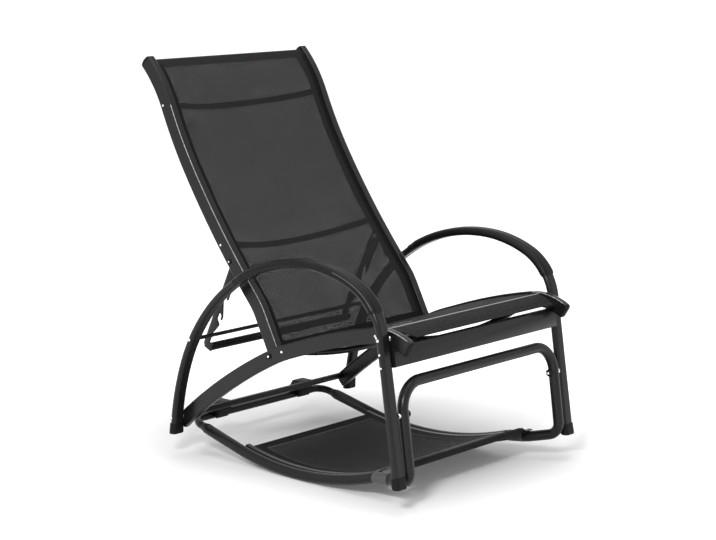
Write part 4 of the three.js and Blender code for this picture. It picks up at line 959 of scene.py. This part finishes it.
# %% Hammer the front bar's ends
def hammered_bar(low, high, radius, flat_half, flat_thick, tongue):
    """A round bar whose outline (cos, sin) squashes to a strip over its last stretch."""
    ramp = 14 * MM
    x, swell = with_round_ends(low.x, high.x, 6 * MM, 1.5 * MM, 40 * MM, 2 * flat_half)
    flat = eased((np.abs(x) - (high.x - tongue - ramp)) / ramp)[:, None]
    a = angles(28)

    def blunt(wave):
        return np.sign(wave) * np.abs(wave) ** (1 - 0.5 * flat)

    half_thick = radius + (flat_thick / 2 - radius) * flat
    across_y = (radius + (flat_half - radius) * flat) * blunt(np.sin(a)) * swell[:, 1:]
    thick_z = half_thick * blunt(np.cos(a)) * swell[:, 1:]
    return np.stack([x[:, None] + 0 * across_y, (low.y + high.y) / 2 - across_y,
                     low.z + half_thick + thick_z], -1)


low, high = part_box("foot_panel_front_bar")
coated("panel_front_bar", hammered_bar(low, high, 6.4 * MM, 6.3 * MM, 3 * MM, 24 * MM),
       "foot_panel_front_bar", "rocker_frame")
softened("loop_holder", "loop_clip", black_plastic, "chair_frame", 1.2 * MM)

# %% [markdown]
# ## Bolts, nuts, washers and knobs
# Most joints have a button head bolt with a hexagon socket. A lathe would turn the head and a
# punch press the socket, so the surface is one function too: rings of a radius at a height,
# some of them drawn from the circle toward a hexagon.

# %% Turn a part on the lathe
OUT, IN = -1, 1  # the way along X that a part on the right side reaches from its seat


def turned(rings, x, y, z, way=OUT, sides=24):
    """Rings of (radius, reach along X, hexagon share, all in mm) round a line along X.

    A hexagon's radius is its apothem over cos(a), with a folded into -30 to 30 degrees."""
    radius, reach, six = (column[:, None] for column in np.array(rings, float).T)
    a = angles(sides)
    folded = (a + np.pi / 6) % (np.pi / 3) - np.pi / 6
    r = radius * MM * (1 - six + six / np.cos(folded))
    up, over = r * np.cos(a), r * np.sin(a) * -way
    return np.stack([x + way * reach * MM + 0 * up, y + SHIFT_Y + over, z + up], -1)


def button_head(radius, tall):
    """A low dome with a chamfered hexagon socket, from its seat to the socket's floor."""
    t = np.linspace(0, 1, 7)
    dome = [(radius * math.cos(a * 1.05), tall * (0.25 + 0.75 * math.sin(a * 1.05) / 0.867), 0)
            for a in t]
    key = radius * 0.42
    return ([(radius * 0.96, 0, 0), (radius, 0.12 * tall, 0)] + dome
            + [(key * 1.12, tall, 0.7), (key, tall * 0.94, 1), (key, tall * 0.35, 1),
               (key * 0.3, tall * 0.3, 0)])


def shank(radius, length):
    return [(radius * 0.9, 0, 0), (radius, 0.1 * radius, 0), (radius, length, 0)]


def hexagon_nut(apothem, tall):
    return [(apothem * 0.92, 0, 0), (apothem, 0.08 * tall, 0.9), (apothem, 0.85 * tall, 1),
            (apothem * 0.94, tall, 0.3), (apothem * 0.6, tall, 0)]


def washer(radius, tall):
    return [(radius * 0.5, 0, 0), (radius - 0.6, 0, 0), (radius, 0.5, 0),
            (radius, tall - 0.5, 0), (radius - 0.6, tall, 0), (radius * 0.5, tall, 0)]


# %% Bolt the chair together
def lathe_pair(name, finish, body, nodes, at, *parts):
    """Turned parts on one line through (y, z): the rings of each, its seat in mm, its way."""
    skins = [turned(rings, x * MM, *at, way) for rings, x, way in parts]
    make_pair(name, skins, finish, body, *nodes)


LEG_FACE = -351.3
pivot, hinge, rod_end = (PIVOT_Y, PIVOT_Z), (HINGE_Y, HINGE_Z), (rod_y, rod_z)
hang = back_line.at(BACK_PIVOT + 268.3 * MM, -6.9 * MM)[:2]
for name, at in (("front", in_tables("rail_bolt_front_right")), ("rear", (REAR_BAR_Y, REAR_BAR_Z))):
    lathe_pair("rail_joint_" + name, zinc, "chair_frame", ["rail_bolt_" + name], at,
               (shank(3, 59), -292.2, OUT), (washer(7.5, 1.7), -314, OUT),
               (button_head(3.8, 2.6), LEG_FACE, OUT))
lathe_pair("rest_bar_bolt", zinc, "chair_frame", ["rest_rod_bolt"], rod_end,
           (shank(3, 53), -298, OUT), (button_head(4, 2.8), LEG_FACE, OUT))
lathe_pair("back_pivot_joint", zinc, "chair_frame", ["back_pivot_bolt"], pivot,
           (shank(4, 40), -273.6, OUT), (button_head(3, 1.4), -317.2, OUT),
           (hexagon_nut(6.06, 6), -272.7, IN))
lathe_pair("pivot_spacer_ring", black_plastic, "chair_frame", ["back_pivot_washer"], pivot,
           (washer(13, 2.1), -293.3, OUT))
lathe_pair("support_joint", zinc, "backrest", ["support_bolt"], hang,
           (shank(4, 31), -262.6, OUT), (button_head(2.4, 1.2), -295.6, OUT),
           (washer(7, 6.4), -266.3, OUT), (hexagon_nut(6.06, 6), -261.7, IN))

collar = [(4, 0, 0), (6.4, 0, 0), (7, 0.6, 0), (7, 2.4, 0), (6.2, 3.2, 0), (3, 3.2, 0)]
small_collar = [(radius * 0.9, reach * 0.8, 0) for radius, reach, _ in collar]
lathe_pair("pivot_head_cover", black_plastic, "chair_frame", [], pivot, (collar, -313.9, OUT))
lathe_pair("support_head_cover", black_plastic, "backrest", [], hang,
           (small_collar, -293.2, OUT))

# %% Turn the hinge's spacer and knob
lathe_pair("hinge_spacer", zinc, "rocker_frame", ["rocker_spacer"], hinge,
           (washer(8, 5.9), -309.8, OUT))
dome = [(9.5 * math.cos(a), 3.5 + 5 * math.sin(a), 0) for a in np.linspace(0, 1.0, 7)]
knob_rings = [(6, 0, 0), (9, 0, 0), (9.8, 0.6, 0), (9.8, 2.4, 0), (9.5, 2.8, 0), *dome,
              (4.6, 8.2, 0), (2, 8.2, 0)]
lathe_pair("hinge_knob", black_plastic, "rocker_frame", ["rocker_knob"], hinge,
           (knob_rings, -281.8, IN), (shank(4, 44), -281.9, OUT))
lathe_pair("hinge_bolt_head", zinc, "rocker_frame", [], hinge,
           (button_head(4.4, 2), -273.7, IN))

# %% [markdown]
# ## Small screws
# The solid model leaves out the screws that only show as bright dots: those in the front leg,
# and those through the rails into the bars and braces. They sit on the faces that carry them.

# %% Drive the small screws
def screw_pair(name, places, x, body, radius=2.9, tall=1.8):
    make_pair(name, [turned(button_head(radius, tall), x, y, z) for y, z in places], zinc, body)


def on_leg(height, behind=0.0):
    y, z, _ = side_line.at(side_line.where_z(height, 0, side_line.start[1]))
    return y + behind, z


screw_pair("apron_screws", [on_leg(385 * MM), on_leg(354 * MM)], -351 * MM, "chair_frame")
screw_pair("arm_screws", [on_leg(427 * MM, 5 * MM)], -349.5 * MM, "chair_frame")
screw_pair("seat_bar_screws", [seat_bar[:2]], -SEAT_OUT, "chair_frame", 3.4, 2)
screw_pair("front_bar_screws", [front_bar[:2]], -SEAT_OUT, "chair_frame")
screw_pair("brace_screws", brace_ends, -BACK_OUT, "backrest", 3.2, 2)
print("screws driven")

# %% [markdown]
# ## Mesh cloth
# The slings are polyester yarn coated with vinyl and woven open, about 1.25 mm from thread to
# thread, with pores that let some three hundredths of the light straight through. An image of
# weave would blur close up. So the weave is worked out from the cloth's own flat coordinates
# in metres: over and under threads as a bump, and the pores as clear spots.

# %% Weave the cloth
THREAD = 1.25 * MM


def mesh_cloth(name, level, pore):
    """Threads are ridges cos(pi f) of the place f between two threads. A checker says which
    of the two lies on top. The cloth is clear where both places are past 0.5 - pore / 2."""
    cloth, tree, shader = new_finish(name, Specular_IOR_Level=0.08)
    flat = node(tree, "UVMap")
    flat.uv_map = "cloth"
    apart = node(tree, "SeparateXYZ", Vector=flat.outputs[0]).outputs
    place = [calc(tree, "SUBTRACT", calc(tree, "FRACT", calc(tree, "DIVIDE", apart[i], THREAD)),
                  0.5) for i in (0, 1)]
    ridge = [calc(tree, "COSINE", calc(tree, "MULTIPLY", one, math.pi)) for one in place]
    over = node(tree, "TexChecker", Vector=flat.outputs[0], Scale=1 / THREAD).outputs["Fac"]
    top = calc(tree, "ADD", calc(tree, "MULTIPLY", over, ridge[0]),
               calc(tree, "MULTIPLY", calc(tree, "SUBTRACT", 1.0, over), ridge[1]))
    yarn = node(tree, "TexNoise", Vector=flat.outputs[0], Scale=90.0, Detail=3.0).outputs["Fac"]
    # painted shade: the cloth is darker where a thread dips under its neighbour, times the yarn's
    # own random tone
    shade = calc(tree, "MULTIPLY", spread(tree, top, 0, 1, 0.55, 1.0),
                 spread(tree, yarn, 0.3, 0.7, 0.85, 1.15))
    paint(tree, shader, shade, grey(level * 0.4), grey(level))
    roughen(tree, shader, yarn, 0.55, 0.68)
    raise_by(tree, shader, top, 0.25 * MM, 0.8)
    if pore:
        past = [calc(tree, "GREATER_THAN", calc(tree, "ABSOLUTE", one), 0.5 - pore / 2)
                for one in place]
        hole = calc(tree, "MULTIPLY", *past)
        plug(tree, shader.inputs["Alpha"], calc(tree, "SUBTRACT", 1.0, hole))
    return cloth, "sling"


sling_cloth = mesh_cloth("open_mesh_cloth", 0.013, 0.165)
hem_cloth = mesh_cloth("folded_hem_cloth", 0.004, 0)
# painted highlight: a light cloth for the bright line along a fold or seam
highlight_seam_cloth = mesh_cloth("painted_highlight_seam_cloth", 0.35, 0)
# painted highlight: a lighter cloth for the bright lines of the foot sling's seams
foot_painted_highlight_cloth = mesh_cloth("foot_painted_highlight_cloth", 0.13, 0)
fold_cloth = mesh_cloth("doubled_edge_cloth", 0.012, 0)
yarn, tree, shader = new_finish("hem_thread", Roughness=0.7, Specular_IOR_Level=0.08)
paint(tree, shader, surface_noise(tree, 0.6 * MM), grey(0.006), grey(0.014))
thread = yarn, "sling"
print("cloth woven")

# %% Describe a sling as a surface
CLOTH_STEP = 6 * MM
HEM_THICK = 1.3 * MM


class Sling:
    """A sheet over a row of places. At a distance d along the flat cloth and a place x across,
    the point is the row's place sunk by sag(d) (1 - (x / half)^2) and raised by a lift."""

    def __init__(self, y, z, h, half, sag):
        self.y, self.z, self.h = y, z, np.unwrap(h)
        self.d = running(np.hypot(np.diff(y), np.diff(z)))
        self.half, self.sag = half, sag
        self.length = self.d[-1]

    def edge(self, d, inset=0.0):
        return np.interp(d, self.d, self.half) - inset

    def at(self, d, x, lift=0.0):
        d = d + 0 * x
        y, z, h, half, sag = (np.interp(d, self.d, row)
                              for row in (self.y, self.z, self.h, self.half, self.sag))
        depth = sag * (1 - (x / half) ** 2) - lift
        return np.stack([x, y + SHIFT_Y + depth * np.sin(h), z - depth * np.cos(h)], -1)


# %% Fold hems and sew them on
def hem_ring(x_from, x_to, thick, parts=9):
    """A strip's outline across X: flat above and below, half round at both edges."""
    t = np.linspace(-np.pi / 2, np.pi / 2, 5)[1:-1]
    x = np.linspace(x_from, x_to, parts)
    edge, rise = thick / 2 * np.cos(t), thick / 2 * np.sin(t)
    return (np.concatenate([x, x_to + edge, x[::-1], x_from - edge]),
            np.concatenate([x * 0 + thick / 2, rise[::-1], x * 0 - thick / 2, rise]))


def side_hems(sling, wide, start, end, thick=HEM_THICK, from_edge=0.0):
    """Folded hems along both edges, each a skin with its flat coordinates."""
    d = np.linspace(start, end, int((end - start) / CLOTH_STEP))[:, None]
    inset, lift = hem_ring(from_edge, from_edge + wide, thick)
    x = -sling.edge(d) + inset[None]
    skin, uv = sling.at(d, x, lift[None]), np.stack([x, d + 0 * x], -1)
    return [(skin, uv), (mirrored(skin), uv[:, ::-1] * (-1, 1))]


def cross_hem(sling, start, end, inset, thick=HEM_THICK, raised=0.0):
    """A folded hem across the sling, between two distances along it."""
    along, lift = hem_ring(start, end, thick)
    x = ACROSS[:, None] * sling.edge(along[None], inset)
    skin = sling.at(along[None], x, lift[None] + raised)
    return skin[:, ::-1], np.stack([x, along + 0 * x], -1)[:, ::-1]


def sew_on(name, cloth, body, *hems):
    """One piece from hems."""
    uv = np.concatenate([flat.reshape(-1, 2) for _, flat in hems])
    return make_piece(name, [skin for skin, _ in hems], cloth, body, uv=uv)


# %% Sew rows of stitches
def sew(name, sling, rows, body, step):
    """rows are (d, x) of every stitch, and step is the way they run. Each is a spindle: five
    corners in four rings, and a face over each end."""
    d, x = (np.concatenate(column) for column in zip(*rows))
    lift = 0.7 * MM
    centre = sling.at(d, x, lift)
    way = (sling.at(d + step[0], x + step[1], lift) - sling.at(d - step[0], x - step[1], lift))
    way /= np.linalg.norm(way, axis=1, keepdims=True)
    up = sling.at(d, x, lift + MM) - centre
    up /= np.linalg.norm(up, axis=1, keepdims=True)
    side = np.cross(way, up)
    reach = np.array([-1.5, -0.8, 0.8, 1.5]) * MM
    fat = np.array([0.12, 0.28, 0.28, 0.12]) * MM
    dip = np.array([-0.35, 0, 0, -0.35]) * MM
    a = angles(5)
    ring = ((fat[:, None] * np.cos(a))[..., None] * up[:, None, None]
            + (fat[:, None] * np.sin(a))[..., None] * side[:, None, None])
    line = centre[:, None] + reach[:, None] * way[:, None] + dip[:, None] * up[:, None]
    points = line[:, :, None] + ring
    first = np.arange(len(d))[:, None, None] * 20
    faces = (quads_of(4, 5, True)[None] + first).reshape(-1, 4).tolist()
    ends = np.array([[4, 3, 2, 1, 0], [15, 16, 17, 18, 19]])
    faces += (ends[None] + first).reshape(-1, 5).tolist()
    mesh = bpy.data.meshes.new(name)
    mesh.from_pydata(points.reshape(-1, 3).tolist(), [], faces)
    return hand_over(new_object(name, mesh, thread), body, ())


STITCH = 4.6 * MM


def seam_down(sling, inset, start, end):
    """Stitch places along both edges of a sling, at an inset from the edge."""
    d = np.arange(start, end, STITCH)
    x = sling.edge(d, inset)
    return np.concatenate([d, d]), np.concatenate([-x, x])


def seam_across(sling, d, inset):
    half = float(sling.edge(d, inset))
    x = np.arange(-half, half, STITCH)
    return np.full_like(x, d), x


# %% Finish a sling
def finish_sling(name, sling, body, down, across):
    """Sews the stitches and lays the open mesh: one layer, with flat coordinates."""
    side_seams = sew(name + "_side_stitches", sling, [seam_down(sling, *down)], body, (MM, 0))
    cross_seams = sew(name + "_cross_stitches", sling, [seam_across(sling, *row) for row in across],
                      body, (0, MM))
    d = np.linspace(0, sling.length, int(sling.length / CLOTH_STEP))
    d = np.unique(np.concatenate([d, sling.d]))[:, None]
    x = ACROSS * sling.edge(d)
    sheet = make_piece(name + "_mesh", [sling.at(d, x)], sling_cloth, body, [name], closed=False,
                       uv=np.stack([x, d + 0 * x], -1), sharp=180)


# %% [markdown]
# ## The three slings
# The back sling hangs in the rails' slots, goes over the top bar and is sewn down behind it.
# The seat sling is creased over a seam near the front and drawn in there. The foot sling is
# sewn round two bars. A cloth simulation could find these shapes, but a sling under tension is
# nearly a ruled surface with a shallow sag, so the surface is written down directly.

# %% Make the back sling
SLOT = 3 * MM  # how deep a sling's edge lies in its slot


def round_bar(y, z, h, radius, turns):
    """Places and headings of cloth round a bar, at turns in degrees from the heading h."""
    a = h + np.radians(turns)
    return y + radius * np.cos(a), z + radius * np.sin(a), a - np.pi / 2


def sling_through(parts, half, sag):
    """One sling through several rows of places, each (y, z, heading)."""
    return Sling(*(np.concatenate(rows) for rows in zip(*parts)), np.concatenate(half),
                 np.concatenate(sag))


foot_s = BACK_PIVOT + 7 * MM
s = np.linspace(foot_s, top_bar_s - 10 * MM, 150)
along = (top_bar_s - s) / (top_bar_s - foot_s)
wrap = round_bar(*top_bar, wrap_radius, np.linspace(90, 90 - 230, 30))
wrap_y, wrap_z = wrap[0][-1], wrap[1][-1]
tail_y, tail_z, _ = back_line.at(top_bar_s - 31 * MM + wrap_radius, SLOT_UP - 2.8 * MM)
share = np.linspace(0, 1, 8)[1:]
tail_h = math.atan2(tail_z - wrap_z, tail_y - wrap_y) - 2 * np.pi
tail = (wrap_y + (tail_y - wrap_y) * share, wrap_z + (tail_z - wrap_z) * share, tail_h + 0 * share)
behind = len(wrap[0]) + len(share)
face_sag = 8 * MM * np.sin(np.minimum(1, along * 2) * np.pi / 2) * np.minimum(1, (1 - along) * 6)
back_sling = sling_through(
    [back_line.at(s, SLOT_UP), wrap, tail],
    [np.full(len(s), BACK_IN + SLOT), np.full(behind, BACK_IN - 0.4 * MM)],
    [face_sag, np.zeros(behind)])
face_end = back_sling.d[len(s) - 1]
back_hems = sew_on("back_sling_hems", hem_cloth, "backrest",
                   *side_hems(back_sling, 18 * MM, 0.0, face_end),
                   cross_hem(back_sling, 1 * MM, 20 * MM, 18.2 * MM))
finish_sling("back_sling", back_sling, "backrest",
             (16 * MM, 2 * MM, face_end - 12 * MM),
             [(face_end - 16 * MM, 34 * MM), (20 * MM, 34 * MM)])

# %% Make the seat sling
crest_s = seat_line.start[4] + 30 * MM
front_s = seat_line.length - 17 * MM
rear_s, tongue_s = SEAT_PIVOT + 28.6 * MM, SEAT_PIVOT + 11 * MM
s = np.concatenate([np.linspace(front_s, crest_s, 24), np.linspace(crest_s, rear_s, 100)[1:],
                    [rear_s - 2 * MM], np.linspace(rear_s - 6 * MM, tongue_s, 5)])
drawn = np.clip((s - crest_s) / (front_s - crest_s), 0, 1)
y, z, h = seat_line.at(s, -SLOT_UP)
along = np.clip((crest_s - s) / (crest_s - rear_s), 0, 1)
half = np.where(s > rear_s - MM, SEAT_IN + SLOT - (29.7 * MM + SLOT) * drawn, BACK_IN - MM)
seat_sling = Sling(y, z, h + np.pi, half, 6 * MM * np.sin(np.pi * along))
crest_d, rear_d = (float(np.interp(-one, -s, seat_sling.d)) for one in (crest_s, rear_s))
seat_hems = sew_on("seat_sling_hems", hem_cloth, "chair_frame",
                   *side_hems(seat_sling, 18 * MM, crest_d + 2 * MM, rear_d),
                   cross_hem(seat_sling, rear_d + 3 * MM, seat_sling.length - MM, MM))
seat_fold = sew_on("seat_sling_front_fold", fold_cloth, "chair_frame",
                   cross_hem(seat_sling, 0.5 * MM, crest_d - 2 * MM, 0.5 * MM))
# painted highlight: the raised seam along the crest is coloured light for the light along the fold
crest_highlight_cord = sew_on("seat_sling_crest_highlight", highlight_seam_cloth, "chair_frame",
                    cross_hem(seat_sling, crest_d - 1.4 * MM, crest_d + 1.4 * MM, 0.5 * MM,
                              2.4 * MM, 0.9 * MM))
finish_sling("seat_sling", seat_sling, "chair_frame",
             (16 * MM, crest_d + 6 * MM, rear_d - 4 * MM),
             [(18 * MM, 4 * MM), (crest_d + 6 * MM, 20 * MM)])

# %% Shape the foot sling
FRONT_R = 6.5 * MM
rear_wrap, front_wrap = 6 * MM + CLOTH_ROUND, FRONT_R + CLOTH_ROUND
front_y, front_z = (low.y + high.y) / 2 - SHIFT_Y, high.z - FRONT_R
s = np.linspace(0, panel_end - 16 * MM, 110)
y, z, h = runner_line.at(s, PANEL_UP + rear_wrap)
slope = math.atan2(z[0] - front_z - front_wrap, y[0] - front_y)
front = round_bar(front_y, front_z, slope, front_wrap, np.linspace(270, 90, 16))
rear = round_bar(*panel_bar, rear_wrap, np.linspace(90, -90, 16)[1:])
middle_half = -(runner_x(s) + RUNNER_R + GAP + PANEL_WIDE + 0.4 * MM)
flat_sides = np.zeros(len(front[0])), np.zeros(len(rear[0]))
foot_sling = sling_through(
    [front, (y, z, h), rear],
    [flat_sides[0] + middle_half[0], middle_half, flat_sides[1] + middle_half[-1]],
    [flat_sides[0], 9 * MM * np.sin(np.pi * s / s[-1]), flat_sides[1]])
flat_from = foot_sling.d[len(front[0])]
flat_to = foot_sling.d[len(front[0]) + len(s) - 1]

# %% Sew and place the foot sling
foot_hems = sew_on("foot_sling_hems", hem_cloth, "rocker_frame",
                   *side_hems(foot_sling, 24 * MM, flat_from, flat_to),
                   cross_hem(foot_sling, flat_to - 24 * MM, flat_to, 0.5 * MM))
foot_fold = sew_on("foot_sling_front_fold", fold_cloth, "rocker_frame",
                   cross_hem(foot_sling, flat_from - 20 * MM, flat_from + 22 * MM, 0.5 * MM))
# painted highlight: raised seams along the foot sling's sides and rear, coloured lighter
foot_highlight_cords = sew_on("foot_sling_raised_highlight_seams", foot_painted_highlight_cloth, "rocker_frame",
                    *side_hems(foot_sling, 1.6 * MM, flat_from + 4 * MM, flat_to - 24 * MM,
                               1.6 * MM, 24.5 * MM),
                    cross_hem(foot_sling, flat_to - 26 * MM, flat_to - 24.4 * MM, 24 * MM,
                              1.6 * MM, 0.4 * MM))
# painted highlight: light seams across the front of the foot sling
front_highlight_cords = sew_on("foot_sling_front_highlights", highlight_seam_cloth, "rocker_frame",
                     *(cross_hem(foot_sling, flat_from + one * MM, flat_from + (one + 2) * MM,
                                 2 * MM, 1.8 * MM, 0.6 * MM) for one in (21, -16)))
finish_sling("foot_sling", foot_sling, "rocker_frame",
             (23 * MM, flat_from + 8 * MM, flat_to - 8 * MM),
             [(flat_from + 20 * MM, 30 * MM), (flat_to - 22 * MM, 30 * MM)])


# %% [markdown]
# ## End

# %% The last cell
print("all pieces laid")
